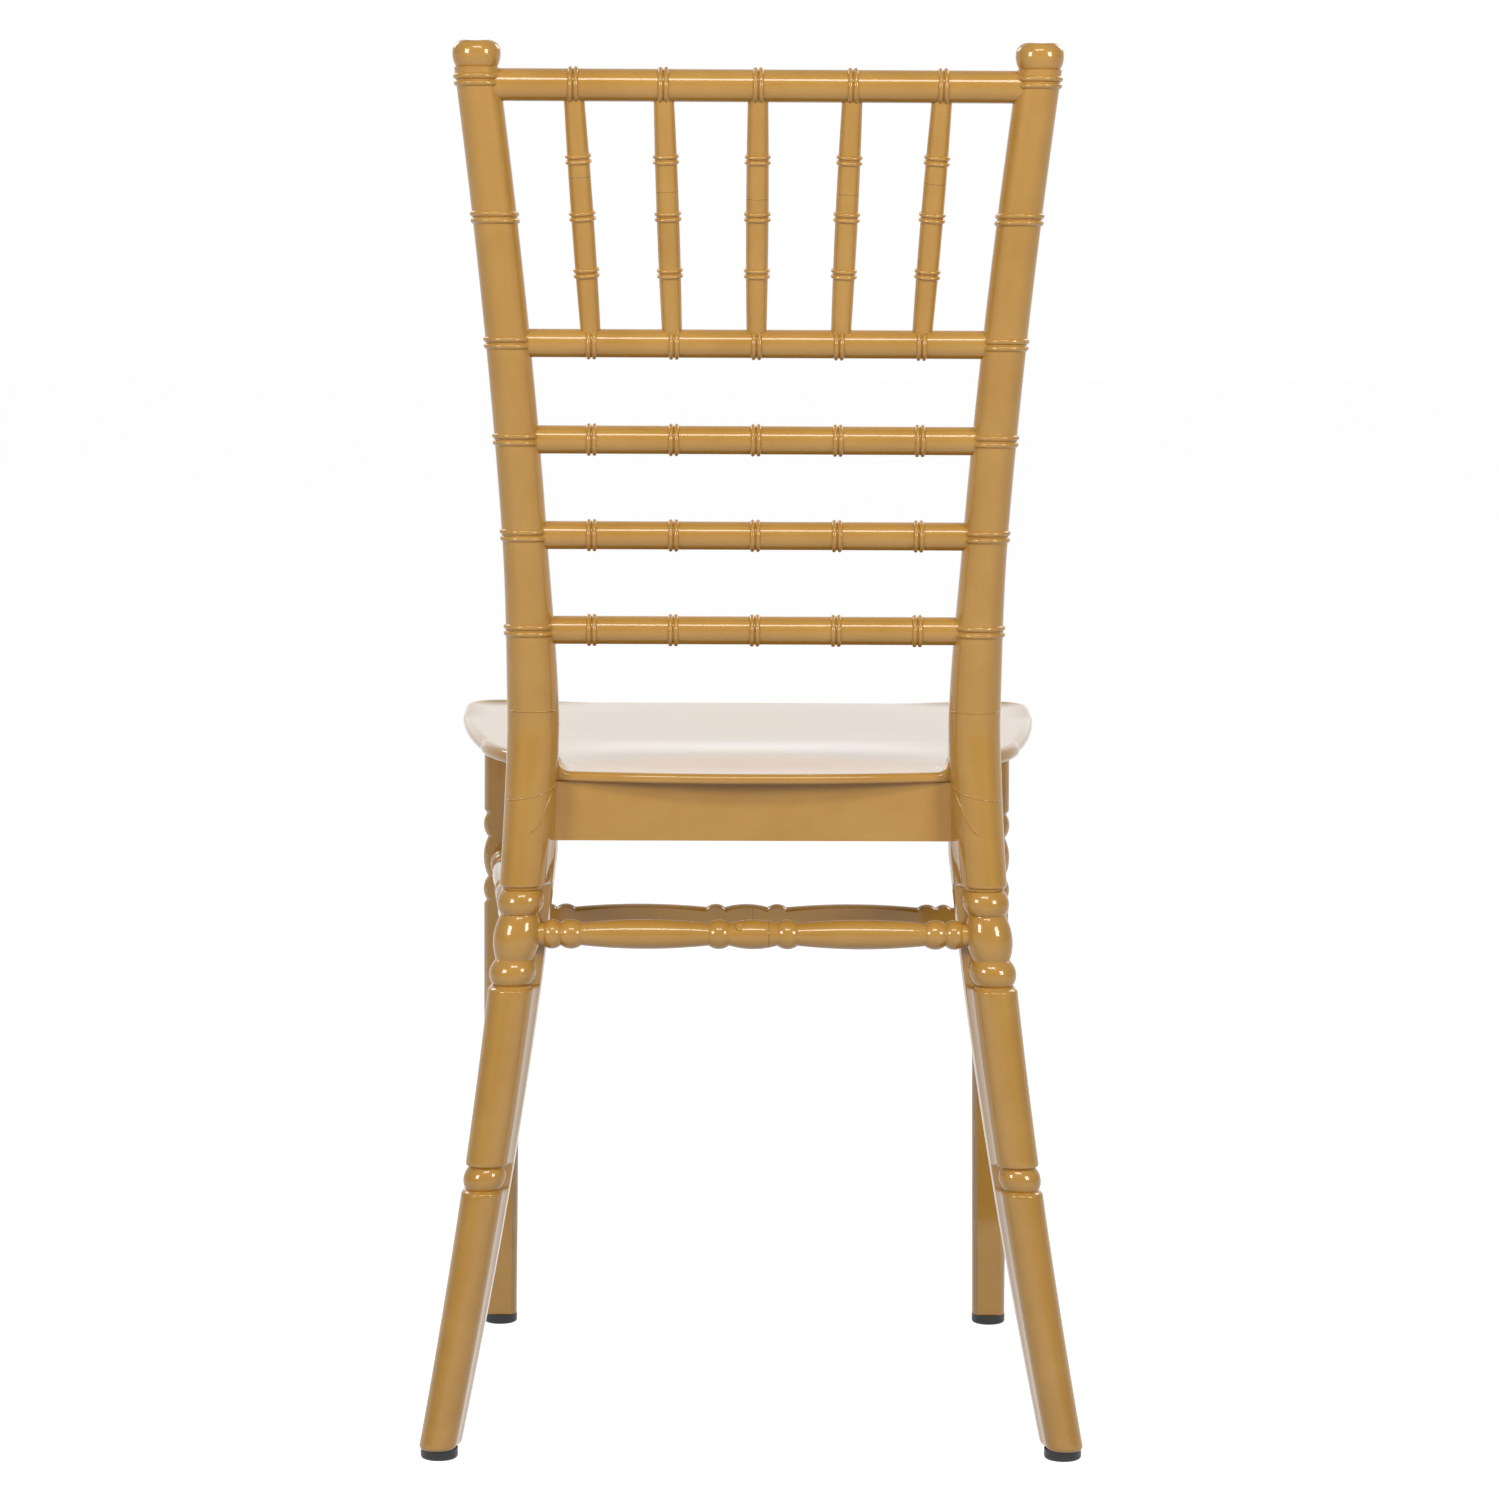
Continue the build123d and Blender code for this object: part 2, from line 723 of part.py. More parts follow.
def seat_tab(y, forward):
    """Screw tabs under the seat, standing out from an apron, as plates with their holes."""
    local_y = (y - waist_y) / cos(radians(seat_tilt)) + forward * tab_length / 2
    with BuildPart() as tabs:
        with BuildSketch(seat_plane.offset(-seat_thickness - boss_height - bond_line)):
            with Locations((-screw_half_spacing, local_y), (screw_half_spacing, local_y)):
                Rectangle(tab_width, tab_length)
        extrude(amount=-tab_thickness)
    return tabs.part, local_y


# Aprons under the seat
hip_seats = back_seats(apron_bottom_height, seat_rear_height + seat_edge_radius)
tenon_middle = apron_bottom_height + tenon_bottom + tenon_height / 2
hip = post_point(tenon_middle)
front_hip = front_leg_point(tenon_middle)
rear_apron_y = hip.Y - rear_apron_advance
rear_body, rear_tenon, rear_mortise = apron_pair(
    Vector(-hip.X, rear_apron_y, 0),
    Vector(hip.X, rear_apron_y, 0),
    rear_tenon_reach,
    rear_tenon_reach,
    seat_lip - seat_thickness,
)
front_body, front_tenon, front_mortise = apron_pair(
    Vector(-front_hip.X, front_leg_y, 0),
    Vector(front_hip.X, front_leg_y, 0),
    front_tenon_reach,
    front_tenon_reach,
)
side_body, side_tenon, side_mortise = apron_pair(
    Vector(hip.X - side_apron_inset, hip.Y, 0),
    Vector(front_hip.X, front_leg_y, 0),
    flange_waist_depth / 2 + tenon_thickness / 2,
    front_tenon_reach,
    seat_rim_depth - seat_thickness,
)
rear_tabs, rear_screw_y = seat_tab(rear_apron_y, -1)
front_tabs, front_screw_y = seat_tab(front_leg_y, 1)
screw_places = [
    (side * screw_half_spacing, y) for y in (rear_screw_y, front_screw_y) for side in (-1, 1)
]
screw_floor = -seat_thickness - boss_height - bond_line - tab_thickness
with BuildPart() as screw_holes:
    with BuildSketch(seat_plane.offset(screw_floor)):
        with Locations(*screw_places):
            Circle(screw_radius + screw_clearance)
    extrude(amount=tab_thickness)
apron_plans = [
    ("rear_apron", rear_body, rear_tenon, hip_seats, rear_tabs),
    ("front_apron", front_body, front_tenon, front_seats, front_tabs),
]
for name, body, tenon, seats, tabs in apron_plans:
    board = trimmed(body, seats, tenon)
    with BuildPart() as apron:
        add(board)
        add(tabs)
        add(screw_holes.part, mode=Mode.SUBTRACT)
    finish(apron.part, name)
left_side_apron = trimmed(side_body, [hip_seats[0], left_front_seat], side_tenon)
finish(left_side_apron, "side_apron_left")
finish(mirrored(left_side_apron), "side_apron_right")
post_sockets += [rear_mortise, side_mortise]
front_sockets += [front_mortise, side_mortise]

# Seat: a panel with a rim in front and at the sides, a lip at the rear and screw bosses below
rear_edge = -seat_rear_inset
rim_lean = seat_rim_depth * sin(radians(seat_tilt))
front_edge = (seat_front_y + rim_lean - waist_y) / cos(radians(seat_tilt))
post_front = -flange_waist_depth
lip_reach = rear_edge + seat_rear_bow - post_front + seat_lip
lip_half_width = waist_half_spacing + post_radius(waist_height)
hip_half_width = waist_half_spacing + seat_hip_overhang
side_half_width = front_top_half_spacing + seat_side_overhang
front_half_width = front_top_half_spacing + seat_front_overhang


def seat_plan(inset=0):
    """Outline of the seat in its own plane, or the same drawn in by an inset."""
    rear = rear_edge - inset
    hip_start = (hip_half_width - inset, post_front + flange_draft - inset)
    hip_end = (hip_half_width - inset, -seat_hip_setback)
    turn = (side_half_width - inset, -seat_side_setback)
    swell = ((hip_end[0] + turn[0]) / 2 + seat_hip_bow, (hip_end[1] + turn[1]) / 2)
    corner = (front_half_width - inset, front_edge + seat_front_bow + inset)
    with BuildSketch() as plan:
        with BuildLine():
            ThreePointArc(
                (-waist_half_spacing, rear), (0, rear + seat_rear_bow), (waist_half_spacing, rear)
            )
            Line((waist_half_spacing, rear), hip_start)
            Line(hip_start, hip_end)
            ThreePointArc(hip_end, swell, turn)
            Line(turn, corner)
            ThreePointArc(corner, (0, front_edge + inset), (-corner[0], corner[1]))
            Line((-corner[0], corner[1]), (-turn[0], turn[1]))
            ThreePointArc((-turn[0], turn[1]), (-swell[0], swell[1]), (-hip_end[0], hip_end[1]))
            Line((-hip_end[0], hip_end[1]), (-hip_start[0], hip_start[1]))
            Line((-hip_start[0], hip_start[1]), (-waist_half_spacing, rear))
        make_face()
        fillet(plan.vertices().group_by(Axis.Y)[0], seat_corner_radius - inset)
    return plan.sketch


seat_layers = [(-seat_rim_depth, seat_plan())]
for step in range(seat_edge_steps + 1):
    turn_angle = pi / 2 * step / seat_edge_steps
    depth = seat_edge_radius * (1 - sin(turn_angle))
    seat_layers.append((-depth, seat_plan(seat_edge_radius * (1 - cos(turn_angle)))))
seat_hollow = seat_plan(seat_wall)
seat_notches = back_seats(seat_rear_height - seat_rim_depth, seat_rear_height + seat_edge_radius)
dish_radius = (seat_dish_width / 2) ** 2 / (2 * seat_dish)
dish_centre = Vector(0, (post_front + front_edge) / 2, dish_radius - seat_dish)
with BuildPart() as seat:
    for height, layer in seat_layers:
        with BuildSketch(seat_plane.offset(height)):
            add(layer)
    loft(ruled=True)
    with BuildSketch(seat_plane.offset(-seat_thickness)):
        add(seat_hollow)
    extrude(amount=-seat_rim_depth, mode=Mode.SUBTRACT)
    with BuildSketch(seat_plane.offset(-seat_lip)):
        with Locations((0, post_front)):
            Rectangle(2 * lip_half_width, lip_reach, align=(Align.CENTER, Align.MIN))
    extrude(amount=-seat_rim_depth, mode=Mode.SUBTRACT)
    with BuildSketch(seat_plane.offset(-seat_thickness)):
        with Locations(*screw_places):
            Circle(boss_radius)
    extrude(amount=-boss_height)
    with BuildSketch(seat_plane.offset(-seat_thickness - boss_height)):
        with Locations(*screw_places):
            Circle(screw_radius + screw_clearance)
    extrude(amount=boss_height + screw_tip_depth + screw_tip_gap, mode=Mode.SUBTRACT)
    with Locations(seat_plane):
        with Locations(dish_centre):
            Sphere(dish_radius, mode=Mode.SUBTRACT)
    for notch in seat_notches:
        add(notch, mode=Mode.SUBTRACT)
finish(seat.part, "seat")

with BuildPart() as seat_screws:
    with BuildSketch(seat_plane.offset(screw_floor)):
        with Locations(*screw_places):
            Circle(screw_radius)
    extrude(amount=tab_thickness + bond_line + boss_height + screw_tip_depth)
    with BuildSketch(seat_plane.offset(screw_floor)):
        with Locations(*screw_places):
            Circle(screw_head_radius)
    extrude(amount=-screw_head_height)
    with BuildSketch(seat_plane.offset(screw_floor - screw_head_height)):
        with Locations(*screw_places):
            RegularPolygon(screw_recess_radius, 6)
    extrude(amount=screw_recess_depth, mode=Mode.SUBTRACT)
finish(seat_screws.part, "seat_screws")

# Finials: a button with a dip across the top, plugged into the post
post_top = post_point(post_top_height)
finial_plane = Plane(origin=post_top, x_dir=(1, 0, 0), z_dir=(0, -1, 0))
plug_bottom = post_top - Vector(0, 0, finial_plug_length)
finial_plug = round_bar(plug_bottom, post_top, finial_plug_radius)
post_sockets.append(
    round_bar(plug_bottom - Vector(0, 0, fit), post_top, finial_plug_radius + fit)
)
finial_base = post_top_radius - finial_neck
corner_start = finial_height - finial_corner
corner_middle = finial_corner * sin(pi / 4)
belly_radius = (finial_base + finial_radius) / 2 + finial_belly
with BuildPart() as left_finial:
    with BuildSketch(finial_plane):
        with BuildLine():
            Line((0, 0), (finial_base, 0))
            ThreePointArc(
                (finial_base, 0), (belly_radius, corner_start / 2), (finial_radius, corner_start)
            )
            ThreePointArc(
                (finial_radius, corner_start),
                (finial_radius - finial_corner + corner_middle, corner_start + corner_middle),
                (finial_radius - finial_corner, finial_height),
            )
            Line((finial_radius - finial_corner, finial_height), (0, finial_height))
            Line((0, finial_height), (0, 0))
        make_face()
    revolve(axis=Axis(post_top, (0, 0, 1)))
    with BuildSketch(finial_plane):
        with Locations((0, finial_height + finial_dip_radius - finial_dip)):
            Circle(finial_dip_radius)
    extrude(amount=finial_radius, both=True, mode=Mode.SUBTRACT)
    add(finial_plug)
finish(left_finial.part, "finial_left")
finish(mirrored(left_finial.part), "finial_right")

# Feet: black buttons with a stem up the leg
rear_sole = post_point(foot_height) - Vector(rear_foot_inset, rear_foot_advance, foot_height)
front_sole = front_leg_point(foot_height) - Vector(0, 0, foot_height)
foot_plans = [("rear", rear_sole, post_sockets), ("front", front_sole, front_sockets)]
for place, sole, sockets in foot_plans:
    stem_bottom = sole + Vector(0, 0, foot_height)
    stem_top = stem_bottom + Vector(0, 0, foot_plug_length)
    stem = round_bar(stem_bottom, stem_top, foot_plug_radius)
    sockets.append(round_bar(stem_bottom, stem_top + Vector(0, 0, fit), foot_plug_radius + fit))
    with BuildPart() as foot:
        with BuildSketch(Plane(origin=sole)):
            Circle(foot_radius)
        extrude(amount=foot_height)
        fillet(foot.edges().sort_by(Axis.Z)[0], foot_edge)
        add(stem)
    finish(foot.part, f"foot_{place}_left")
    finish(mirrored(foot.part), f"foot_{place}_right")

# Posts and front legs with all their sockets cut
with BuildPart() as rear_post:
    add(left_post_blank.part)
    for socket in post_sockets:
        add(socket, mode=Mode.SUBTRACT)
finish(rear_post.part, "rear_post_left")
finish(mirrored(rear_post.part), "rear_post_right")
with BuildPart() as front_leg:
    add(left_front_blank)
    for socket in front_sockets:
        add(socket, mode=Mode.SUBTRACT)
finish(front_leg.part, "front_leg_left")
finish(mirrored(front_leg.part), "front_leg_right")
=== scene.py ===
"""Looks of a gold resin banquet chair, laid out as a Blender add-on and run as a script.

Metres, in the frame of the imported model: +X to the sitter's left, +Y to the rear, +Z up, origin on
the floor under the middle of the chair. Sizes in the tables below are millimetres.
"""

import json
import math

import bpy
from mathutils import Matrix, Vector


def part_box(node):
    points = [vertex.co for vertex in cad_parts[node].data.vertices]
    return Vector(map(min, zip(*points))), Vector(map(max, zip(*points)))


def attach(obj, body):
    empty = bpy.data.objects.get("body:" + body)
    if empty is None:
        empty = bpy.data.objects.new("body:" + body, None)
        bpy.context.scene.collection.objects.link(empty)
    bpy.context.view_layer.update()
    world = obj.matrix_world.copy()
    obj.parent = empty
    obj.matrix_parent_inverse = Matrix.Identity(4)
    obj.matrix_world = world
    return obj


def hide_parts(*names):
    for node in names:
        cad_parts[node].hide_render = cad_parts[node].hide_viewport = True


bl_info = {
    "name": "Resin banquet chair",
    "version": (1, 0, 0),
    "blender": (4, 5, 0),
    "location": "View3D > Sidebar > Chair",
    "description": "Dresses the packed banquet chair in glossy gold resin and sets its studio",
    "category": "Object",
}

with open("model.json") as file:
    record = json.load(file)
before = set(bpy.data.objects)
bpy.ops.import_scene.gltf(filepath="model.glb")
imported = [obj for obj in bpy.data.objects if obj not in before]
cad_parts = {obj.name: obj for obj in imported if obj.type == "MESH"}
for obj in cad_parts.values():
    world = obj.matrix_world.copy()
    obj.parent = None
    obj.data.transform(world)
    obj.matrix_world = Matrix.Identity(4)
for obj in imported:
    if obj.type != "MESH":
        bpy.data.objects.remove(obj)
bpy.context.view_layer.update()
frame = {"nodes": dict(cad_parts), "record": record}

MM = 0.001
BODY = "root"

# Course of the rear posts, from the same sizes as the solids
POST_TOP = 902.8
SEAT_REAR = 449.0
WAIST = SEAT_REAR + 31.0
FOOT = 7.0
DEPTH = 449.0
TOP_SPACING = 178.3
WAIST_SPACING = 144.3
FOOT_SPACING = 205.8
BACK_RAKE = 50.0
LEG_RAKE = 41.0
BACK_SPREAD_POWER = 1.53
LEG_SPREAD_POWER = 1.45
BACK_RAKE_POWER = 1.2
LEG_RAKE_POWER = 1.1
FINIAL_RADIUS = 15.4
FINIAL_Y = DEPTH / 2 - FINIAL_RADIUS
WAIST_Y = FINIAL_Y - BACK_RAKE

# Section of the rear posts: round behind, a flat flange in front
POST_TOP_RADIUS = 14.3
LEG_RADIUS = 15.0
LEG_FOOT_RADIUS = 12.3
LEG_END_ROUND = 3.0
HIP_SWELL = 2.2
HIP_REACH = 130.0
# Depths at the top, the waist and the foot
FLANGE_DEPTHS = (13.0, 24.0, 20.0)
# Spreads high up, just over the seat, at the widest and at the foot
FLANGE_SPREADS = (-1.0, 1.0, 5.9, 3.3)
FLANGE_FADE = 25.0
FLANGE_START = SEAT_REAR - 12.0
FLANGE_WIDEST = SEAT_REAR - 54.6
FLANGE_DRAFT = 1.5
FLANGE_CORNER = 4.0
FLANK_DEPTH_SHARE = 0.42
FLANK_SHARE = 0.7
FLANK_ROUND = 1.5
ARC_STEPS = 44
CORNER_STEPS = 6
FLANK_STEPS = 3
CUT_LIMIT = 0.45

# Steps in height between the rings of a post
SHAFT_STEP = 5.0
TURNING_STEP = 0.5
RING_STEP = 0.2
LEAST_STEP = 0.08

# Turnings of the rear legs
TURNING_TOP = SEAT_REAR - 75.0
TURNING_GAP = 1.0
TURNING_BEAD = 16.6
TURNING_VASE = 29.4
TURNING_SWELL = 0.4
TURNING_NECK = 2.9
TURNING_END_NECK = 1.7
SHOULDER = 2.5
CORE_DROP = 5.0
ANKLE = 184.2
ANKLE_BEAD = 14.8
ANKLE_NECK = 2.5
TURNING_BOTTOM = TURNING_TOP - 2 * TURNING_GAP - 2 * TURNING_BEAD - TURNING_VASE

# Double rings of the posts
RING_BEAD = 1.9
RING_PITCH = 4.4
RING_PROUD = 1.5
RING_HEIGHTS = (542.6, 604.7, 666.8, 728.9, 808.7, 894.9)

# Seat, in its own plane: across, to the rear and up from the middle of the rear edge
SEAT_TILT = math.radians(1.5)
SEAT_THICKNESS = 5.0
SEAT_RIM = 9.0
SEAT_LIP = 6.5
SEAT_WALL = 5.0
SEAT_ROLL = 6.0
SEAT_LIP_ROLL = 3.6
SEAT_SIDE_BOW = 2.6
SEAT_UNDER_ROLL = 2.0
SEAT_REAR_EDGE = -5.0
SEAT_REAR_BOW = 17.0
SEAT_HIP = (150.0, -22.5)
SEAT_HIP_END = (150.0, -80.0)
SEAT_SWELL = (175.75, -124.0)
SEAT_TURN = (186.5, -168.0)
SEAT_CORNER = (206.0, -376.5)
SEAT_FRONT_EDGE = -383.5
SEAT_CORNER_RADIUS = 38.0
SEAT_CORNER_SIDE_RUN = 60.0
SEAT_CORNER_FRONT_RUN = 100.0
SEAT_REAR_STEPS = 60
SEAT_FRONT_STEPS = 40
SEAT_DISH = 1.0
SEAT_CROWN = 2.6
SEAT_CROWN_REACH = 85.0
SEAT_DISH_REACH = 195.0
SEAT_MIDDLE = (0.0, -205.0)
SEAT_FILLET = 7.0
CORNER_UPTURN = 3.5
CORNER_UPTURN_REACH = 26.0
UPTURN_ACROSS = 105.0
UPTURN_ACROSS_RUN = 75.0
UPTURN_FRONT = 285.0
UPTURN_FRONT_RUN = 70.0
LIP_START = -40.0
LIP_RUN = 20.0
LEAST_LEAN = 0.5
UNDER_INSET = 8.0
UNDER_FILLET = 1.0
UNDER_SHARES = (0.97, 0.8, 0.5, 0.2, 0.0)
ROLL_STEPS = 10
TOP_INSETS = range(7, 38, 2)
TOP_SHARES = (0.06, 0.13, 0.22, 0.32, 0.43, 0.55, 0.67, 0.79, 0.9, 0.97)

# Screw bosses under the seat
BOSS_RADIUS = 5.5
BOSS_HEIGHT = 6.0
BOSS_SINK = 0.5
BOSS_CHAMFER = 0.6
SCREW_SPACING = 85.0
SCREW_HEAD_RADIUS = 4.0

# Witness lines of the mould on the spindles, by height, from the sitter's left
SPINDLE_TOPS = (117.3, 60.1, 0.0, -60.1, -117.3)
SPINDLE_BOTTOMS = (106.0, 54.0, 0.0, -54.0, -106.0)
SPINDLE_RAIL = 728.9
CREST_RAIL = 892.2
SPINDLE_END = 6.4
SPINDLE_MIDDLE = 7.3
SPINDLE_LINES = (834.6, 825.7, 821.3, 824.5, 831.4)

# A fine line round a piece, with its edges sunk
LINE_HALF = 0.3
LINE_FLAT = 0.1
LINE_SUNK = 0.05
LINE_PROUD = 0.1

# Middle of the stretchers, with the gate's stub and the weld lines of the mould
STRETCHER_NECK = 7.4
STRETCHER_RADIUS = 9.7
STRETCHER_CENTRE = 31.5
GATE_PLACE = 8.8
GATE_RISE = math.radians(43.0)
GATE_RADIUS = 2.9
GATE_SINK = 0.5
# Pairs of a height and an inset
GATE_PROFILE = ((0.0, 0.0), (0.8, 0.0), (1.1, 0.4), (1.0, 1.2), (1.0, 2.6))
REAR_WELD = -10.1
FRONT_WELD = -4.7
FRONT_WELD_REACH = 7.0
FRONT_WELD_HALF = 0.2

# Fine moulded ridges of the posts
RIDGE_OVER_SEAT = WAIST + 10.0
RIDGE_LOW = 431.5
RIDGE_LOW_RISE = 10.0
RIDGE_APRON = 440.0
RIDGE_APRON_DROP = 30.0
RIDGE_TURN = 5
RIDGE_END = 0.12
RIDGE_SWELL = 0.4
RIDGE_FADE = 4

# Stage: the floor and the aim of the lights are in metres
FLOOR_HALF = 30.0
LIGHT_TARGET = (0, 0.15, 0.6)
SENSOR_MM = 36.0

# Names of the finishes that more than one step uses
GOLD_RESIN = "Moulded gold resin"
WITNESS_RESIN = "Gold resin at a witness line"


def nodes_of(slot):
    """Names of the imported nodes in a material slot."""
    return [entry["node"] for entry in frame["record"]["subparts"] if entry["material_slot"] == slot]


def linear(hex_colour):
    """An sRGB hex colour as linear values with full alpha."""
    channels = [int(hex_colour[i:i + 2], 16) / 255 for i in (1, 3, 5)]
    return [c / 12.92 if c <= 0.04045 else ((c + 0.055) / 1.055) ** 2.4 for c in channels] + [1.0]


def node(tree, kind, inputs=None, **settings):
    """Add a node with its settings, and set or link its inputs."""
    made = tree.nodes.new(kind)
    for key, value in settings.items():
        setattr(made, key, value)
    for key, value in (inputs or {}).items():
        if isinstance(value, bpy.types.NodeSocket):
            tree.links.new(value, made.inputs[key])
        else:
            made.inputs[key].default_value = value
    return made


def new_material(name):
    """An empty node material, its tree and its output node."""
    material = bpy.data.materials.new(name)
    material.use_nodes = True
    tree = material.node_tree
    tree.nodes.clear()
    return material, tree, node(tree, "ShaderNodeOutputMaterial")


def per_metre(millimetres):
    """Texture scale whose features are about that many millimetres across."""
    return 1000.0 / millimetres


def tone_ramp(tree, factor, low, high, start=0.0, end=1.0):
    """A colour between two sRGB hex colours, as the factor goes from start to end."""
    tone = node(tree, "ShaderNodeValToRGB", {"Fac": factor})
    for element, place, colour in zip(tone.color_ramp.elements, (start, end), (low, high)):
        element.position = place
        element.color = linear(colour)
    return tone.outputs["Color"]


def seen_ray(tree, path):
    """1 for a ray from the camera, in a reflection or through a clear piece, and 0 for any other."""
    seen = node(tree, "ShaderNodeMath",
                {0: path.outputs["Is Camera Ray"], 1: path.outputs["Is Glossy Ray"]}, operation="MAXIMUM")
    through = node(tree, "ShaderNodeMath",
                   {0: seen.outputs[0], 1: path.outputs["Is Transmission Ray"]}, operation="MAXIMUM")
    return through.outputs[0]


def gold_resin(name, finish, low, high):
    """Injection-moulded resin with a gold pearl pigment, between two tones.

    A trace of metal stands for the pearl flakes and a clear coat for the smooth skin. The flow of the
    resin leaves faint clouds and a fine grain.
    """
    material, tree, output = new_material(name)
    place = node(tree, "ShaderNodeTexCoord").outputs["Object"]
    flow = node(tree, "ShaderNodeTexNoise",
                {"Vector": place, "Scale": per_metre(finish.flow_mm), "Detail": 3.0, "Distortion": 0.6})
    grain = node(tree, "ShaderNodeTexNoise",
                 {"Vector": place, "Scale": per_metre(finish.grain_mm), "Detail": 2.0})
    mottle = node(tree, "ShaderNodeMix",
                  {"Factor": 0.12, "A": flow.outputs["Fac"], "B": grain.outputs["Fac"]})
    tone = tone_ramp(tree, mottle.outputs["Result"], low, high, 0.3, 0.7)
    peel = node(tree, "ShaderNodeTexNoise",
                {"Vector": place, "Scale": per_metre(finish.peel_mm), "Detail": 1.0})
    bump = node(tree, "ShaderNodeBump",
                {"Height": peel.outputs["Fac"], "Strength": 0.05, "Distance": 0.0002})
    gloss = node(tree, "ShaderNodeMapRange",
                 {"Value": flow.outputs["Fac"], "To Min": 0.34, "To Max": 0.42})
    shader = node(tree, "ShaderNodeBsdfPrincipled",
                  {"Base Color": tone, "Roughness": gloss.outputs["Result"],
                   "Normal": bump.outputs["Normal"]})
    shader.inputs["IOR"].default_value = 1.5
    shader.inputs["Metallic"].default_value = 0.06
    shader.inputs["Specular IOR Level"].default_value = 0.0
    shader.inputs["Coat Weight"].default_value = 1.0
    shader.inputs["Coat Roughness"].default_value = 0.06
    tree.links.new(shader.outputs["BSDF"], output.inputs["Surface"])
    return material


def foot_plastic():
    """Black moulded polyethylene: satin, with a fine grain."""
    material, tree, output = new_material("Moulded black polyethylene")
    place = node(tree, "ShaderNodeTexCoord").outputs["Object"]
    grain = node(tree, "ShaderNodeTexNoise", {"Vector": place, "Scale": per_metre(1.2), "Detail": 3.0})
    tone = tone_ramp(tree, grain.outputs["Fac"], "#17181A", "#2B2C2F")
    bump = node(tree, "ShaderNodeBump",
                {"Height": grain.outputs["Fac"], "Strength": 0.2, "Distance": 0.0002})
    shader = node(tree, "ShaderNodeBsdfPrincipled",
                  {"Base Color": tone, "Normal": bump.outputs["Normal"]})
    shader.inputs["Roughness"].default_value = 0.45
    tree.links.new(shader.outputs["BSDF"], output.inputs["Surface"])
    return material


def screw_steel():
    """Zinc-plated steel: a bright metal with a slightly uneven sheen."""
    material, tree, output = new_material("Zinc-plated steel")
    place = node(tree, "ShaderNodeTexCoord").outputs["Object"]
    bloom = node(tree, "ShaderNodeTexNoise", {"Vector": place, "Scale": per_metre(2.0), "Detail": 3.0})
    sheen = node(tree, "ShaderNodeMapRange",
                 {"Value": bloom.outputs["Fac"], "To Min": 0.25, "To Max": 0.45})
    shader = node(tree, "ShaderNodeBsdfPrincipled", {"Roughness": sheen.outputs["Result"]})
    shader.inputs["Base Color"].default_value = linear("#B9BBBE")
    shader.inputs["Metallic"].default_value = 1.0
    tree.links.new(shader.outputs["BSDF"], output.inputs["Surface"])
    return material


def studio_white(finish):
    """White painted floor: it shows the shadow faintly and is white to the camera and in reflections."""
    material, tree, output = new_material("White painted floor")
    seen = seen_ray(tree, node(tree, "ShaderNodeLightPath"))
    strength = node(tree, "ShaderNodeMath", {0: seen, 1: finish.floor_glow}, operation="MULTIPLY")
    glow = node(tree, "ShaderNodeEmission", {"Strength": strength.outputs[0]})
    paint = node(tree, "ShaderNodeBsdfDiffuse", {"Color": linear("#A6A6A6")})
    both = node(tree, "ShaderNodeAddShader", {0: paint.outputs[0], 1: glow.outputs[0]})
    tree.links.new(both.outputs[0], output.inputs["Surface"])
    return material


def post_axis(z):
    """Axis of the left post at a height: its distance from the middle and its place in depth."""
    if z >= WAIST:
        share = (z - WAIST) / (POST_TOP - WAIST)
        spread = (TOP_SPACING - WAIST_SPACING) * share**BACK_SPREAD_POWER
        rake = BACK_RAKE * share**BACK_RAKE_POWER
    else:
        share = (WAIST - z) / (WAIST - FOOT)
        spread = (FOOT_SPACING - WAIST_SPACING) * share**LEG_SPREAD_POWER
        rake = LEG_RAKE * share**LEG_RAKE_POWER
    return WAIST_SPACING + spread, WAIST_Y + rake


def shaft_radius(z):
    """Radius of the round rear of the post without its turnings."""
    if z < TURNING_BOTTOM:
        share = (z - FOOT) / (TURNING_BOTTOM - FOOT)
        return LEG_FOOT_RADIUS + (LEG_RADIUS - LEG_FOOT_RADIUS) * share
    share = (z - TURNING_BOTTOM) / (POST_TOP - TURNING_BOTTOM)
    offset = min(abs(z - WAIST) / HIP_REACH, 1)
    swell = HIP_SWELL * (1 + math.cos(math.pi * offset)) / 2
    return LEG_RADIUS + (POST_TOP_RADIUS - LEG_RADIUS) * share + swell


def flange_depth(z):
    """Distance from the post axis to the flat front."""
    top, waist, foot = FLANGE_DEPTHS
    if z >= WAIST:
        return waist + (top - waist) * (z - WAIST) / (POST_TOP - WAIST)
    return waist + (foot - waist) * (WAIST - z) / (WAIST - FOOT)


def flange_spread(z):
    """How far the flange stands out past the round rear, towards the middle of the chair."""
    top, back, widest, foot = FLANGE_SPREADS
    if z > SEAT_REAR:
        return back + (top - back) * min((z - SEAT_REAR) / FLANGE_FADE, 1)
    if z >= FLANGE_WIDEST:
        share = min(max((FLANGE_START - z) / (FLANGE_START - FLANGE_WIDEST), 0), 1)
        return back + (widest - back) * share
    return widest + (foot - widest) * (FLANGE_WIDEST - z) / (FLANGE_WIDEST - FOOT)


def bulge(z, bottom, height, end, middle):
    """Radius of a bead or vase: an arc through its end, middle and end radii."""
    rise = middle - end
    radius = (height * height / 4 + rise * rise) / (2 * rise)
    offset = z - bottom - height / 2
    return middle - radius + math.sqrt(max(radius * radius - offset * offset, 0))


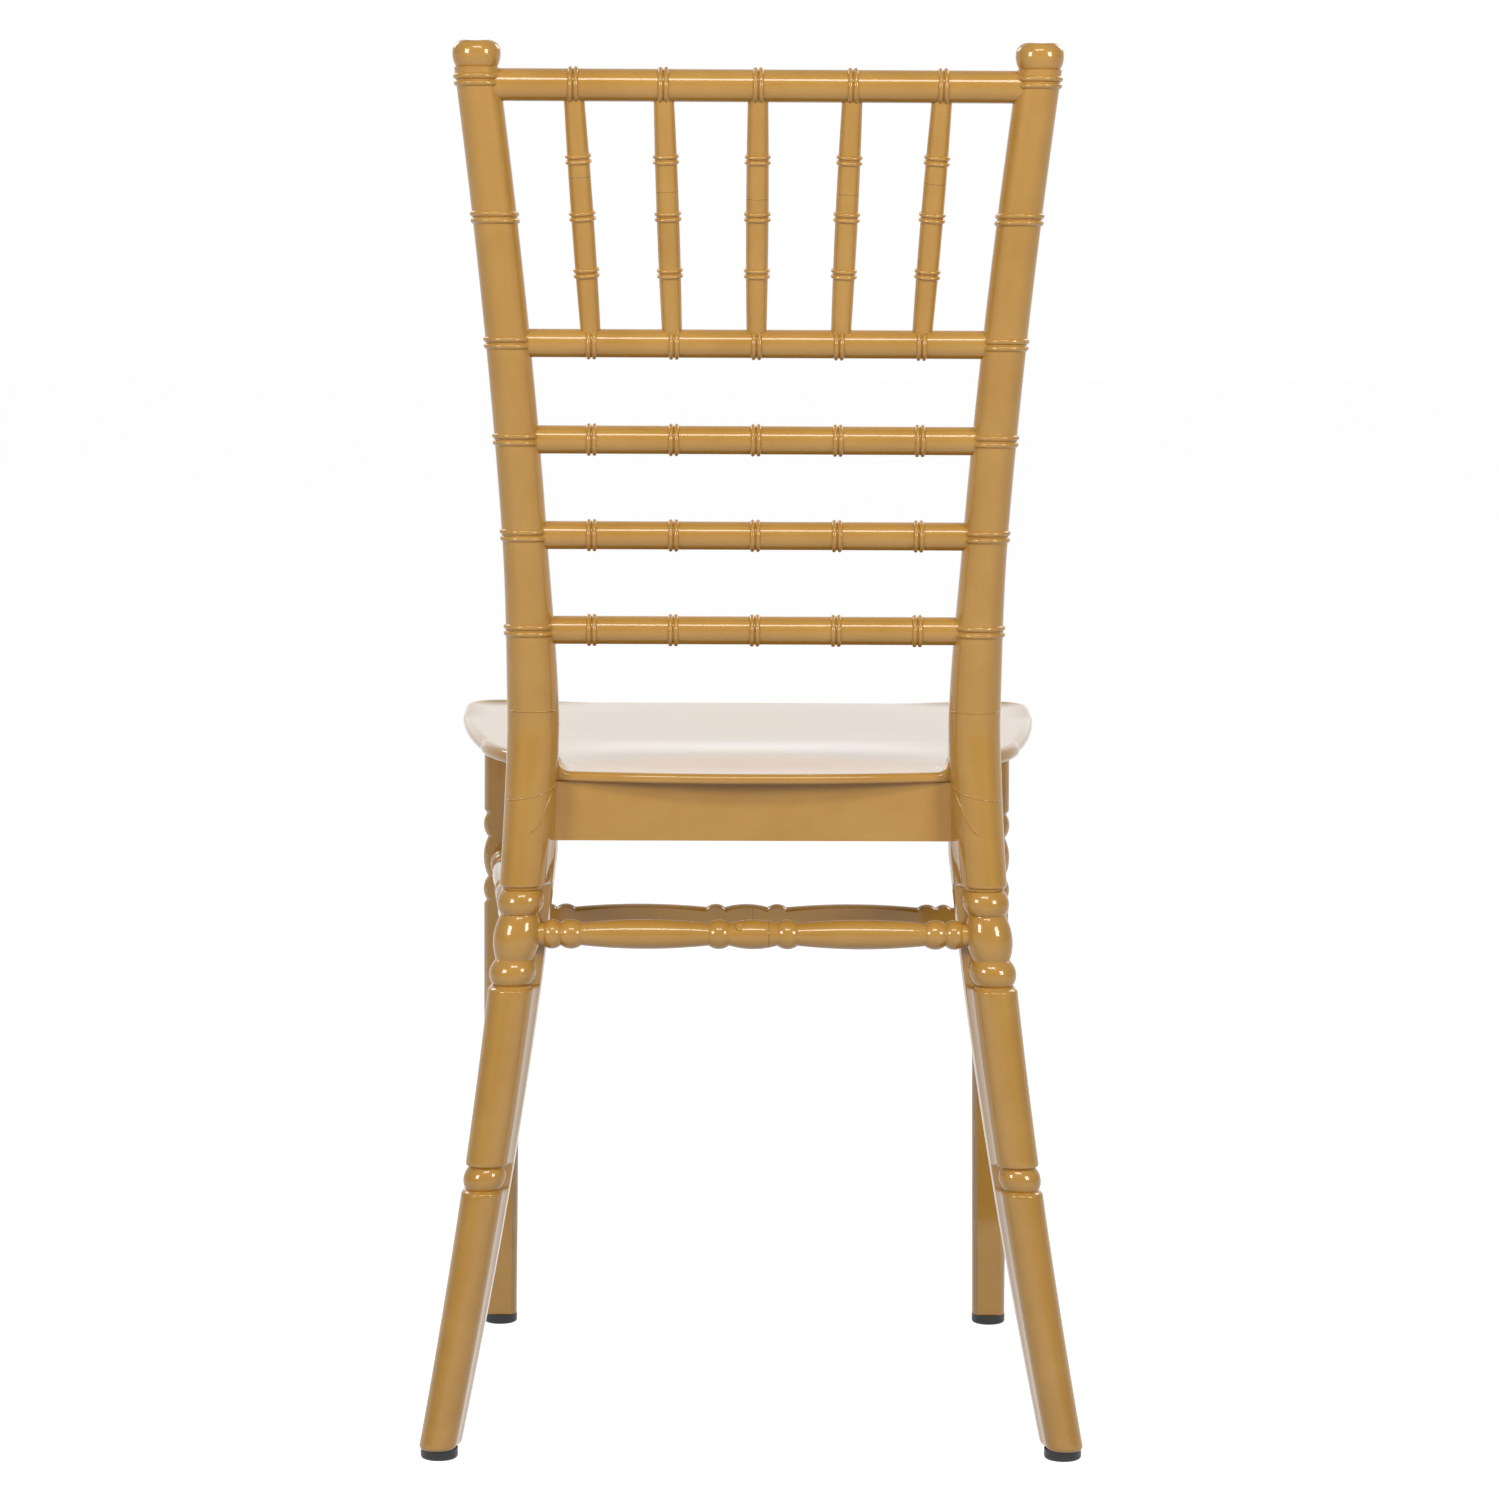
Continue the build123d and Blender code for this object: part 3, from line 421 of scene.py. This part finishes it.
def turned_radius(z):
    """Radius of the round rear with turnings and rings, and how far the core lies inside the shaft."""
    shaft = shaft_radius(z)
    for bottom, top in ((TURNING_BOTTOM, TURNING_TOP), (ANKLE - ANKLE_BEAD / 2, ANKLE + ANKLE_BEAD / 2)):
        if bottom - SHOULDER < z < top + SHOULDER:
            into = min(z - bottom + SHOULDER, top + SHOULDER - z) / SHOULDER
            into = min(into, 1)
            drop = CORE_DROP * (1 - math.sqrt(max(1 - into * into, 0)))
            core = shaft - drop
            if top == TURNING_TOP:
                radius = LEG_RADIUS - TURNING_END_NECK
                reach = bottom + TURNING_GAP
                neck = LEG_RADIUS - TURNING_NECK
                for height in (TURNING_BEAD, TURNING_VASE, TURNING_BEAD):
                    if reach <= z <= reach + height:
                        radius = bulge(z, reach, height, neck, LEG_RADIUS + TURNING_SWELL)
                    reach += height
            else:
                radius = shaft - ANKLE_NECK
                if bottom <= z <= top:
                    radius = bulge(z, bottom, ANKLE_BEAD, shaft - ANKLE_NECK, shaft)
            return max(radius, core), drop
    for height in RING_HEIGHTS:
        for centre in (height - RING_PITCH / 2, height + RING_PITCH / 2):
            offset = abs(z - centre)
            if offset < RING_BEAD:
                bead = RING_PROUD - RING_BEAD + math.sqrt(RING_BEAD**2 - offset**2)
                if bead > 0:
                    return shaft + bead, 0.0
    return shaft, 0.0


def rounded(corner, before, after, radius, steps):
    """Points of a rounded corner of an outline."""
    corner, before, after = Vector(corner), Vector(before), Vector(after)
    into = (before - corner).normalized()
    out = (after - corner).normalized()
    half = into.angle(out) / 2
    shorter = min((before - corner).length, (after - corner).length)
    cut = min(radius / math.tan(half), CUT_LIMIT * shorter)
    start = corner + into * cut
    end = corner + out * cut
    points = []
    for step in range(steps + 1):
        t = step / steps
        points.append(start * (1 - t) ** 2 + corner * 2 * t * (1 - t) + end * t**2)
    return points


def post_outline(z):
    """Outline of the left post at a height, about its axis."""
    shaft = shaft_radius(z)
    radius, drop = turned_radius(z)
    depth = flange_depth(z)
    spread = flange_spread(z)
    side = shaft - drop
    first = -math.acos(min(side / radius, 1))
    root = Vector((-side, 0))
    knee = Vector((-shaft - FLANK_SHARE * spread, -FLANK_DEPTH_SHARE * depth))
    inner = Vector((-shaft - spread, -depth))
    outer = Vector((side - FLANGE_DRAFT, -depth))
    low, high = 0.0, 1.0
    if root.length < radius - 1e-6:
        for _ in range(30):
            middle = (low + high) / 2
            if root.lerp(knee, middle).length < radius:
                low = middle
            else:
                high = middle
    meet = root.lerp(knee, low)
    last = math.atan2(meet.y, meet.x) % (2 * math.pi)
    points = []
    for step in range(ARC_STEPS + 1):
        angle = first + (last - first) * step / ARC_STEPS
        points.append(Vector((radius * math.cos(angle), radius * math.sin(angle))))
    points += rounded(knee, points[-1], inner, FLANK_ROUND, FLANK_STEPS)
    points += rounded(inner, knee, outer, FLANGE_CORNER, CORNER_STEPS)
    points += rounded(outer, inner, points[0], FLANGE_CORNER, CORNER_STEPS)
    return points


def finer(start, end, step):
    """Heights from start to end at about that step."""
    count = max(int(round((end - start) / step)), 1)
    return [start + (end - start) * i / count for i in range(count + 1)]


def post_heights():
    """Heights where the post is set out, closer together at rings, turnings and the foot."""
    heights = finer(FOOT, POST_TOP, SHAFT_STEP)
    heights += finer(FOOT, FOOT + LEG_END_ROUND, TURNING_STEP)
    heights += finer(TURNING_BOTTOM - SHOULDER, TURNING_TOP + SHOULDER, TURNING_STEP)
    ankle_half = ANKLE_BEAD / 2 + SHOULDER
    heights += finer(ANKLE - ankle_half, ANKLE + ankle_half, TURNING_STEP)
    ring_half = RING_PITCH / 2 + RING_BEAD
    for ring in RING_HEIGHTS:
        heights += finer(ring - ring_half, ring + ring_half, RING_STEP)
    kept = []
    for height in sorted(heights):
        if not kept or height - kept[-1] > LEAST_STEP:
            kept.append(height)
    return kept


def leg_end_share(z):
    """How much of its section the leg keeps near its rounded lower end."""
    into = max(LEG_END_ROUND - (z - FOOT), 0) / LEG_END_ROUND
    return 1 - LEG_END_ROUND * (1 - math.sqrt(1 - into * into)) / LEG_FOOT_RADIUS


def bowed(start, via, end, steps):
    """Points of a bow through three points, without the last one."""
    start, via, end = Vector(start), Vector(via), Vector(end)
    shares = [i / steps for i in range(steps)]
    return [start * (1 - t) * (1 - 2 * t) + via * 4 * t * (1 - t) + end * t * (2 * t - 1) for t in shares]


def straight(start, end, steps):
    """Points of a line, without the last one."""
    return bowed(start, (Vector(start) + Vector(end)) / 2, end, steps)


def seat_outline():
    """Outline of the seat in its plane, anticlockwise from above."""

    def front_edge(across):
        """A point of the bowed front edge."""
        bow = SEAT_CORNER[1] - SEAT_FRONT_EDGE
        return Vector((across, SEAT_FRONT_EDGE + bow * (across / SEAT_CORNER[0]) ** 2))

    half = []
    for i in range(SEAT_REAR_STEPS):
        share = i / SEAT_REAR_STEPS
        half.append(Vector((WAIST_SPACING * share, SEAT_REAR_EDGE + SEAT_REAR_BOW * (1 - share**2))))
    half += straight((WAIST_SPACING, SEAT_REAR_EDGE), SEAT_HIP, 6)
    half += straight(SEAT_HIP, SEAT_HIP_END, 20)
    half += bowed(SEAT_HIP_END, SEAT_SWELL, SEAT_TURN, 30)
    before_corner = Vector(SEAT_CORNER) + Vector((0, SEAT_CORNER_SIDE_RUN))
    outwards = Vector((SEAT_SIDE_BOW, 0))
    half += bowed(SEAT_TURN, (Vector(SEAT_TURN) + before_corner) / 2 + outwards, before_corner, 40)
    after_corner = front_edge(SEAT_CORNER[0] - SEAT_CORNER_FRONT_RUN)
    half += rounded(SEAT_CORNER, before_corner, after_corner, SEAT_CORNER_RADIUS, 24)
    last = half[-1].x
    half += [front_edge(last * (1 - i / SEAT_FRONT_STEPS)) for i in range(1, SEAT_FRONT_STEPS + 1)]
    other = [Vector((-point.x, point.y)) for point in half[1:-1]]
    return half[::-1] + other


def post_distance(across, back):
    """Distance in the seat plane from the section of the nearer post."""
    side = abs(across) - WAIST_SPACING
    radius = shaft_radius(SEAT_REAR)
    if back > 0:
        return math.hypot(side, back) - radius
    beside = max(abs(side) - radius, 0)
    return math.hypot(beside, max(-FLANGE_DEPTHS[1] - back, 0))


def eased(share):
    """A smooth step from 0 to 1."""
    share = min(max(share, 0), 1)
    return share * share * (3 - 2 * share)


def seat_top(across, back, inset):
    """Height of the top over the seat's plane: dished, crowned to the rear, front corners turned up."""
    reach = math.hypot(across - SEAT_MIDDLE[0], back - SEAT_MIDDLE[1]) / SEAT_DISH_REACH
    height = -SEAT_DISH * math.cos(math.pi / 2 * min(reach, 1)) ** 2
    crown = 1 - eased(abs(back + SEAT_CROWN_REACH) / SEAT_CROWN_REACH)
    height += SEAT_CROWN * crown * max(1 - (across / WAIST_SPACING) ** 2, 0)
    corner = eased((abs(across) - UPTURN_ACROSS) / UPTURN_ACROSS_RUN)
    corner *= eased((-back - UPTURN_FRONT) / UPTURN_FRONT_RUN)
    height += CORNER_UPTURN * corner * max(1 - inset / CORNER_UPTURN_REACH, 0) ** 2
    near = max(post_distance(across, back), 0)
    if near < SEAT_FILLET:
        height += SEAT_FILLET - math.sqrt(SEAT_FILLET**2 - (SEAT_FILLET - near) ** 2)
    return height


def seat_point(across, back, up):
    """A point of the seat in the chair's frame."""
    sine, cosine = math.sin(SEAT_TILT), math.cos(SEAT_TILT)
    return across, WAIST_Y + back * cosine + up * sine, SEAT_REAR - back * sine + up * cosine


def seat_rings():
    """Rings of the seat from the middle of its underside out, over the rolled edge and back in on top."""
    outline = seat_outline()
    count = len(outline)
    middle = Vector(SEAT_MIDDLE)
    rays = []
    for i, point in enumerate(outline):
        along = (outline[(i + 1) % count] - outline[i - 1]).normalized()
        ray = (middle - point).normalized()
        lean = max(ray.dot(Vector((-along.y, along.x))), LEAST_LEAN)
        rays.append(ray / lean)

    lips = [eased((point.y - LIP_START) / LIP_RUN) for point in outline]
    rims = [SEAT_RIM + (SEAT_LIP - SEAT_RIM) * lip for lip in lips]
    rolls = [SEAT_ROLL + (SEAT_LIP_ROLL - SEAT_ROLL) * lip for lip in lips]

    def inside(inset, share=0.0):
        """The outline moved in by an inset, then a share of the way to the middle."""
        return [(point + ray * inset).lerp(middle, share) for point, ray in zip(outline, rays)]

    def under_ring(inset, drop, share=0.0):
        """A ring of the flat underside, that far below the seat's plane."""
        return [seat_point(place.x, place.y, -drop) for place in inside(inset, share)]

    def rim_ring(inset, share):
        """A ring of the rim, at a share of its depth."""
        return [seat_point(place.x, place.y, -share * rim) for place, rim in zip(inside(inset), rims)]

    def roll_ring(angle):
        """A ring of the rolled edge, from its side at no angle to its top at a right angle."""
        points = []
        for point, ray, roll in zip(outline, rays, rolls):
            inset = roll * (1 - math.cos(angle))
            place = point + ray * inset
            up = seat_top(place.x, place.y, inset) - roll * (1 - math.sin(angle))
            points.append(seat_point(place.x, place.y, up))
        return points

    def top_ring(inset, share=0.0):
        """A ring of the top."""
        return [seat_point(p.x, p.y, seat_top(p.x, p.y, inset)) for p in inside(inset, share)]

    rings = [under_ring(SEAT_WALL + UNDER_INSET, SEAT_THICKNESS, share) for share in UNDER_SHARES]
    rings.append(under_ring(SEAT_WALL + UNDER_FILLET, SEAT_THICKNESS))
    rings.append(under_ring(SEAT_WALL, SEAT_THICKNESS + UNDER_FILLET))
    rings.append(rim_ring(SEAT_WALL - UNDER_FILLET, 1.0))
    rings.append(rim_ring(SEAT_UNDER_ROLL, 1.0))
    rings.append(rim_ring(SEAT_UNDER_ROLL * 0.3, 0.93))
    rings.append(rim_ring(0.0, 0.75))
    rings += [roll_ring(math.pi / 2 * step / ROLL_STEPS) for step in range(ROLL_STEPS + 1)]
    rings += [top_ring(inset) for inset in TOP_INSETS]
    rings += [top_ring(TOP_INSETS[-1], share) for share in TOP_SHARES]
    return rings


def circle(centre, along, radius, count=40):
    """Points of a circle about a direction."""
    along = Vector(along).normalized()
    first = along.orthogonal().normalized()
    second = along.cross(first)
    return [
        Vector(centre) + (first * math.cos(a) + second * math.sin(a)) * radius
        for a in (2 * math.pi * i / count for i in range(count))
    ]


def turned(start, along, profile):
    """Rings of a turned shell: pairs of a distance along its axis and a radius."""
    start, along = Vector(start), Vector(along).normalized()
    return [circle(start + along * place, along, radius) for place, radius in profile]


def boss_shells():
    """The four screw bosses under the seat."""
    shells = []
    low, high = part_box("seat_screws")
    for x in (-SCREW_SPACING, SCREW_SPACING):
        for y in (low[1] / MM + SCREW_HEAD_RADIUS, high[1] / MM - SCREW_HEAD_RADIUS):
            back = (y - WAIST_Y) / math.cos(SEAT_TILT)
            top = Vector(seat_point(x, back, -SEAT_THICKNESS + BOSS_SINK))
            down = Vector(seat_point(x, back, -SEAT_THICKNESS)) - top
            length = BOSS_HEIGHT + BOSS_SINK
            shells.append(turned(top, down, (
                (0.0, BOSS_RADIUS), (length - BOSS_CHAMFER, BOSS_RADIUS),
                (length, BOSS_RADIUS - BOSS_CHAMFER))))
    return shells


def stretcher_middle(name):
    """Middle of a stretcher's box, in millimetres."""
    low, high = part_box(name)
    return (Vector(low) + Vector(high)) / 2 / MM


def stretcher_radius(place):
    """Radius of a stretcher's middle vase, that far from its middle."""
    return bulge(place, -STRETCHER_CENTRE / 2, STRETCHER_CENTRE, STRETCHER_NECK, STRETCHER_RADIUS)


def gate_shell():
    """The stub of the gate that fed the mould, on the upper rear of the rear stretcher."""
    out = Vector((0, math.cos(GATE_RISE), math.sin(GATE_RISE)))
    start = stretcher_middle("rear_stretcher") + Vector((GATE_PLACE, 0, 0))
    profile = [(height, GATE_RADIUS - inset) for height, inset in GATE_PROFILE]
    return turned(start + out * (stretcher_radius(GATE_PLACE) - GATE_SINK), out, profile)


def line_profile(radius):
    """Profile of a fine line round a piece of that radius."""
    low, high = radius - LINE_SUNK, radius + LINE_PROUD
    return (-LINE_HALF, low), (-LINE_FLAT, high), (LINE_FLAT, high), (LINE_HALF, low)


def weld_shells():
    """Fine lines where the resin met: round the rear stretcher, and on the front one's flat back."""
    start = stretcher_middle("rear_stretcher") + Vector((REAR_WELD, 0, 0))
    rear = turned(start, (1, 0, 0), line_profile(stretcher_radius(REAR_WELD)))
    middle = stretcher_middle("front_stretcher") + Vector((FRONT_WELD, 0, 0))
    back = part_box("front_stretcher")[1][1] / MM
    half = FRONT_WELD_HALF
    corners = ((-half, -half), (half, -half), (half, LINE_PROUD), (-half, LINE_PROUD))
    front = []
    for z in (middle.z - FRONT_WELD_REACH, middle.z + FRONT_WELD_REACH):
        front.append([(middle.x + across, back + deep, z) for across, deep in corners])
    return [rear, front]


def witness_shells():
    """Fine lines that the mould left round the spindles."""
    shells = []
    crest_y = post_axis(CREST_RAIL)[1]
    rail_y = post_axis(SPINDLE_RAIL)[1]
    for top, bottom, z in zip(SPINDLE_TOPS, SPINDLE_BOTTOMS, SPINDLE_LINES):
        foot = Vector((bottom, rail_y, SPINDLE_RAIL))
        head = Vector((top, crest_y, CREST_RAIL))
        share = (z - SPINDLE_RAIL) / (CREST_RAIL - SPINDLE_RAIL)
        radius = SPINDLE_END + (SPINDLE_MIDDLE - SPINDLE_END) * (1 - (2 * share - 1) ** 2)
        shells.append(turned(foot.lerp(head, share), head - foot, line_profile(radius)))
    return shells


def post_surface(turn, z):
    """A point on the left post's round rear: degrees inwards from straight behind, and a height."""
    x, y = post_axis(z)
    radius = shaft_radius(z)
    angle = math.radians(turn)
    return Vector((x - radius * math.sin(angle), y + radius * math.cos(angle), z))


def ridge_shells():
    """Fine moulded ridges on the left post: one across it over the seat, two that run into the apron."""
    courses = (
        [(-80 + RIDGE_TURN * i, RIDGE_OVER_SEAT) for i in range(33)],
        [(-84 + RIDGE_TURN * i, RIDGE_LOW + RIDGE_LOW_RISE * (i / 33) ** 2) for i in range(34)],
        [(80 - 80 * (i / 20), RIDGE_APRON - RIDGE_APRON_DROP * math.sin(math.pi / 2 * i / 20) ** 2)
         for i in range(21)],
    )
    shells = []
    for course in courses:
        path = [post_surface(turn, z) for turn, z in course]
        rings = []
        for i, point in enumerate(path):
            along = path[min(i + 1, len(path) - 1)] - path[max(i - 1, 0)]
            fade = min(i, len(path) - 1 - i, RIDGE_FADE) / RIDGE_FADE
            rings.append(circle(point, along, RIDGE_END + RIDGE_SWELL * fade, 10))
        shells.append(rings)
    return shells


def skinned(name, shells, material, sharp=40.0):
    """A piece of closed shells, each through rings of points in millimetres, which rides on the chair."""
    points = []
    faces = []
    for rings in shells:
        base = len(points)
        count = len(rings[0])
        points += [Vector(point) * MM for ring in rings for point in ring]
        for level in range(len(rings) - 1):
            low = base + level * count
            for i in range(count):
                j = (i + 1) % count
                faces.append((low + i, low + j, low + count + j, low + count + i))
        faces.append(tuple(reversed(range(base, base + count))))
        faces.append(tuple(range(len(points) - count, len(points))))
    mesh = bpy.data.meshes.new(name)
    mesh.from_pydata(points, [], faces)
    mesh.validate()
    mesh.shade_smooth()
    mesh.set_sharp_from_angle(angle=math.radians(sharp))
    mesh.materials.append(material)
    piece = bpy.data.objects.new(name, mesh)
    bpy.context.scene.collection.objects.link(piece)
    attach(piece, BODY)
    return piece


def floor_plane(finish):
    """A wide white floor under the chair."""
    mesh = bpy.data.meshes.new("floor")
    signs = ((-1, -1), (1, -1), (1, 1), (-1, 1))
    mesh.from_pydata([(x * FLOOR_HALF, y * FLOOR_HALF, 0) for x, y in signs], [], [(0, 1, 2, 3)])
    mesh.materials.append(studio_white(finish))
    return bpy.data.objects.new("floor", mesh)


def white_surround(studio):
    """A world that is white to the camera, and in reflections white ahead and a dimmer room elsewhere."""
    world = bpy.data.worlds.new("White surround")
    world.use_nodes = True
    tree = world.node_tree
    tree.nodes.clear()
    path = node(tree, "ShaderNodeLightPath")
    glossy = path.outputs["Is Glossy Ray"]
    level = node(tree, "ShaderNodeMapRange", {"Value": seen_ray(tree, path), "To Min": studio.ambient})
    heading = node(tree, "ShaderNodeSeparateXYZ",
                   {0: node(tree, "ShaderNodeTexCoord").outputs["Generated"]})
    room = node(tree, "ShaderNodeMapRange",
                {"Value": heading.outputs["Y"], "From Min": -0.9, "From Max": -0.45, "To Min": 1.0,
                 "To Max": studio.room})
    inside = node(tree, "ShaderNodeMath", {0: glossy, 1: room.outputs["Result"]}, operation="MULTIPLY")
    dull = node(tree, "ShaderNodeMath", {0: 1.0, 1: glossy}, operation="SUBTRACT")
    plain = node(tree, "ShaderNodeMath",
                 {0: dull.outputs[0], 1: level.outputs["Result"]}, operation="MULTIPLY")
    total = node(tree, "ShaderNodeMath", {0: inside.outputs[0], 1: plain.outputs[0]})
    sky = node(tree, "ShaderNodeBackground", {"Strength": total.outputs[0]})
    sky.inputs["Color"].default_value = (1, 1, 1, 1)
    output = node(tree, "ShaderNodeOutputWorld")
    tree.links.new(sky.outputs[0], output.inputs["Surface"])
    return world


def area_light(name, azimuth, elevation, distance, width, height, power):
    """A rectangular light aimed at the chair, its azimuth in degrees from straight behind."""
    lamp = bpy.data.lights.new(name, "AREA")
    lamp.shape = "RECTANGLE"
    lamp.size = width
    lamp.size_y = height
    lamp.energy = power
    light = bpy.data.objects.new(name, lamp)
    a, e = math.radians(azimuth), math.radians(elevation)
    way = Vector((math.sin(a) * math.cos(e), math.cos(a) * math.cos(e), math.sin(e)))
    light.location = Vector(LIGHT_TARGET) + way * distance
    light.rotation_euler = way.to_track_quat("Z", "Y").to_euler()
    light.visible_camera = False
    return light


def photo_camera(studio):
    """A camera that sees the chair as the photo does."""
    lens = bpy.data.cameras.new("photo_camera")
    lens.sensor_fit = "HORIZONTAL"
    lens.sensor_width = SENSOR_MM
    lens.lens = studio.lens_mm
    lens.clip_end = 100.0
    camera = bpy.data.objects.new("photo_camera", lens)
    camera.location = studio.camera_place
    camera.rotation_euler = studio.camera_turn
    return camera


class ChairFinish(bpy.types.PropertyGroup):
    """Sizes of the marks in the finishes, and the glow of the floor."""

    flow_mm: bpy.props.FloatProperty(
        name="Flow marks", description="Width of the flow marks in the resin, in millimetres",
        default=38.0, min=5.0, max=200.0)
    grain_mm: bpy.props.FloatProperty(
        name="Pearl grain", description="Width of the grain of the pearl pigment, in millimetres",
        default=1.6, min=0.5, max=10.0)
    peel_mm: bpy.props.FloatProperty(
        name="Peel", description="Width of the slight unevenness of the gloss, in millimetres",
        default=14.0, min=1.0, max=30.0)
    floor_glow: bpy.props.FloatProperty(
        name="Floor glow", description="White added to the floor for the camera and in reflections",
        default=0.95, min=0.0, max=1.0)


class ChairStudio(bpy.types.PropertyGroup):
    """Camera and lights of the studio."""

    camera_place: bpy.props.FloatVectorProperty(
        name="Camera", description="Place of the camera", default=(0.0411, 3.1005, 0.7749),
        subtype="XYZ", unit="LENGTH")
    camera_turn: bpy.props.FloatVectorProperty(
        name="Camera turn", description="Tilt, roll and heading of the camera",
        default=[math.radians(a) for a in (83.9617, -0.2731, 179.2841)], subtype="EULER", unit="ROTATION")
    lens_mm: bpy.props.FloatProperty(
        name="Lens", description="Focal length on a 36 mm wide frame, in millimetres", default=108.545)
    key_power: bpy.props.FloatProperty(
        name="Key lights", description="Power of each of the two softboxes", default=26.0, unit="POWER")
    overhead_power: bpy.props.FloatProperty(
        name="Overhead light", description="Power of the light above the camera", default=18.0,
        unit="POWER")
    back_power: bpy.props.FloatProperty(
        name="Low backlight", description="Power of the low light that the seat reflects", default=3.4,
        unit="POWER")
    front_power: bpy.props.FloatProperty(
        name="Front lights", description="Power of each of the two lights before the chair", default=10.0,
        unit="POWER")
    ambient: bpy.props.FloatProperty(
        name="Ambient", description="Light from all round", default=0.1, min=0.0, max=1.0)
    room: bpy.props.FloatProperty(
        name="Room", description="Brightness of the room on the camera's side, in reflections",
        default=0.55, min=0.0, max=1.0)


class CHAIR_OT_finishes(bpy.types.Operator):
    """Make the finishes and give them to the solids"""

    bl_idname = "chair.finishes"
    bl_label = "Finishes"

    def execute(self, context):
        finish = context.scene.chair_finish
        for slot, material in (
            ("gold_resin", gold_resin(GOLD_RESIN, finish, "#B58538", "#BE8F43")),
            ("foot_plastic", foot_plastic()),
            ("screw_steel", screw_steel()),
        ):
            for name in nodes_of(slot):
                mesh = frame["nodes"][name].data
                mesh.materials.clear()
                mesh.materials.append(material)
        gold_resin(WITNESS_RESIN, finish, "#8A6229", "#96702F")
        return {"FINISHED"}


class CHAIR_OT_posts(bpy.types.Operator):
    """Make the two rear posts, each one run from the foot to the top"""

    bl_idname = "chair.posts"
    bl_label = "Rear posts"

    def execute(self, context):
        gold = bpy.data.materials[GOLD_RESIN]
        for side, sign in (("left", 1), ("right", -1)):
            rings = []
            for z in post_heights():
                x, y = post_axis(z)
                keep = leg_end_share(z)
                ring = [(sign * (x + keep * p.x), y + keep * p.y, z) for p in post_outline(z)]
                rings.append(ring if sign > 0 else ring[::-1])
            post = skinned(f"post_{side}", [rings], gold)
            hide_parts(f"rear_post_{side}")
        return {"FINISHED"}


class CHAIR_OT_seat(bpy.types.Operator):
    """Make the dished seat with its rolled edge and its screw bosses"""

    bl_idname = "chair.seat"
    bl_label = "Seat"

    def execute(self, context):
        gold = bpy.data.materials[GOLD_RESIN]
        seat = skinned("seat_shell", [seat_rings()] + boss_shells(), gold, 55.0)
        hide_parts("seat")
        return {"FINISHED"}


class CHAIR_OT_marks(bpy.types.Operator):
    """Make the fine lines and ridges that the mould left"""

    bl_idname = "chair.marks"
    bl_label = "Mould marks"

    def execute(self, context):
        skinned("witness_lines", witness_shells() + weld_shells(),
                bpy.data.materials[WITNESS_RESIN])
        skinned("gate_stub", [gate_shell()], bpy.data.materials[GOLD_RESIN], 50.0)
        left = ridge_shells()
        right = [[[Vector((-p.x, p.y, p.z)) for p in ring[::-1]] for ring in rings] for rings in left]
        skinned("post_ridges", left + right, bpy.data.materials[GOLD_RESIN], 80.0)
        return {"FINISHED"}


class CHAIR_OT_stage(bpy.types.Operator):
    """Set the floor, the lights, the white surround and the camera"""

    bl_idname = "chair.stage"
    bl_label = "Studio"

    def execute(self, context):
        scene = context.scene
        studio = scene.chair_studio
        scene.view_settings.view_transform = "Standard"
        floor = floor_plane(scene.chair_finish)
        scene.collection.objects.link(floor)
        scene.world = white_surround(studio)
        for plan in (
            ("softbox_left", 46.0, 15.0, 2.4, 0.7, 0.7, studio.key_power),
            ("softbox_right", -46.0, 15.0, 2.4, 0.7, 0.7, studio.key_power),
            ("overhead", 0.0, 45.0, 2.2, 1.3, 0.4, studio.overhead_power),
            ("low_backlight", 180.0, 10.0, 3.2, 3.0, 1.2, studio.back_power),
            ("front_left", 140.0, 30.0, 2.6, 0.8, 0.8, studio.front_power),
            ("front_right", -140.0, 30.0, 2.6, 0.8, 0.8, studio.front_power),
        ):
            scene.collection.objects.link(area_light(*plan))
        camera = photo_camera(studio)
        scene.collection.objects.link(camera)
        scene.camera = camera
        return {"FINISHED"}


class CHAIR_PT_panel(bpy.types.Panel):
    """Lists the chair's pieces in the sidebar"""

    bl_idname = "CHAIR_PT_panel"
    bl_label = "Banquet chair"
    bl_space_type = "VIEW_3D"
    bl_region_type = "UI"
    bl_category = "Chair"

    def draw(self, context):
        for operator in STEPS:
            self.layout.operator(operator.bl_idname)
        for group in (context.scene.chair_finish, context.scene.chair_studio):
            box = self.layout.box()
            for name in group.bl_rna.properties.keys():
                if name not in ("rna_type", "name"):
                    box.prop(group, name)


STEPS = (CHAIR_OT_finishes, CHAIR_OT_posts, CHAIR_OT_seat, CHAIR_OT_marks, CHAIR_OT_stage)
CLASSES = (ChairFinish, ChairStudio) + STEPS + (CHAIR_PT_panel,)


def register():
    """Register the classes and give the scene its properties."""
    for each in CLASSES:
        bpy.utils.register_class(each)
    bpy.types.Scene.chair_finish = bpy.props.PointerProperty(type=ChairFinish)
    bpy.types.Scene.chair_studio = bpy.props.PointerProperty(type=ChairStudio)


def unregister():
    """Take the properties and the classes away again."""
    del bpy.types.Scene.chair_studio
    del bpy.types.Scene.chair_finish
    for each in reversed(CLASSES):
        bpy.utils.unregister_class(each)


def main():
    """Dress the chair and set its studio."""
    register()
    for step in STEPS:
        group, name = step.bl_idname.split(".")
        getattr(getattr(bpy.ops, group), name)()


if __name__ == "__main__":
    main()
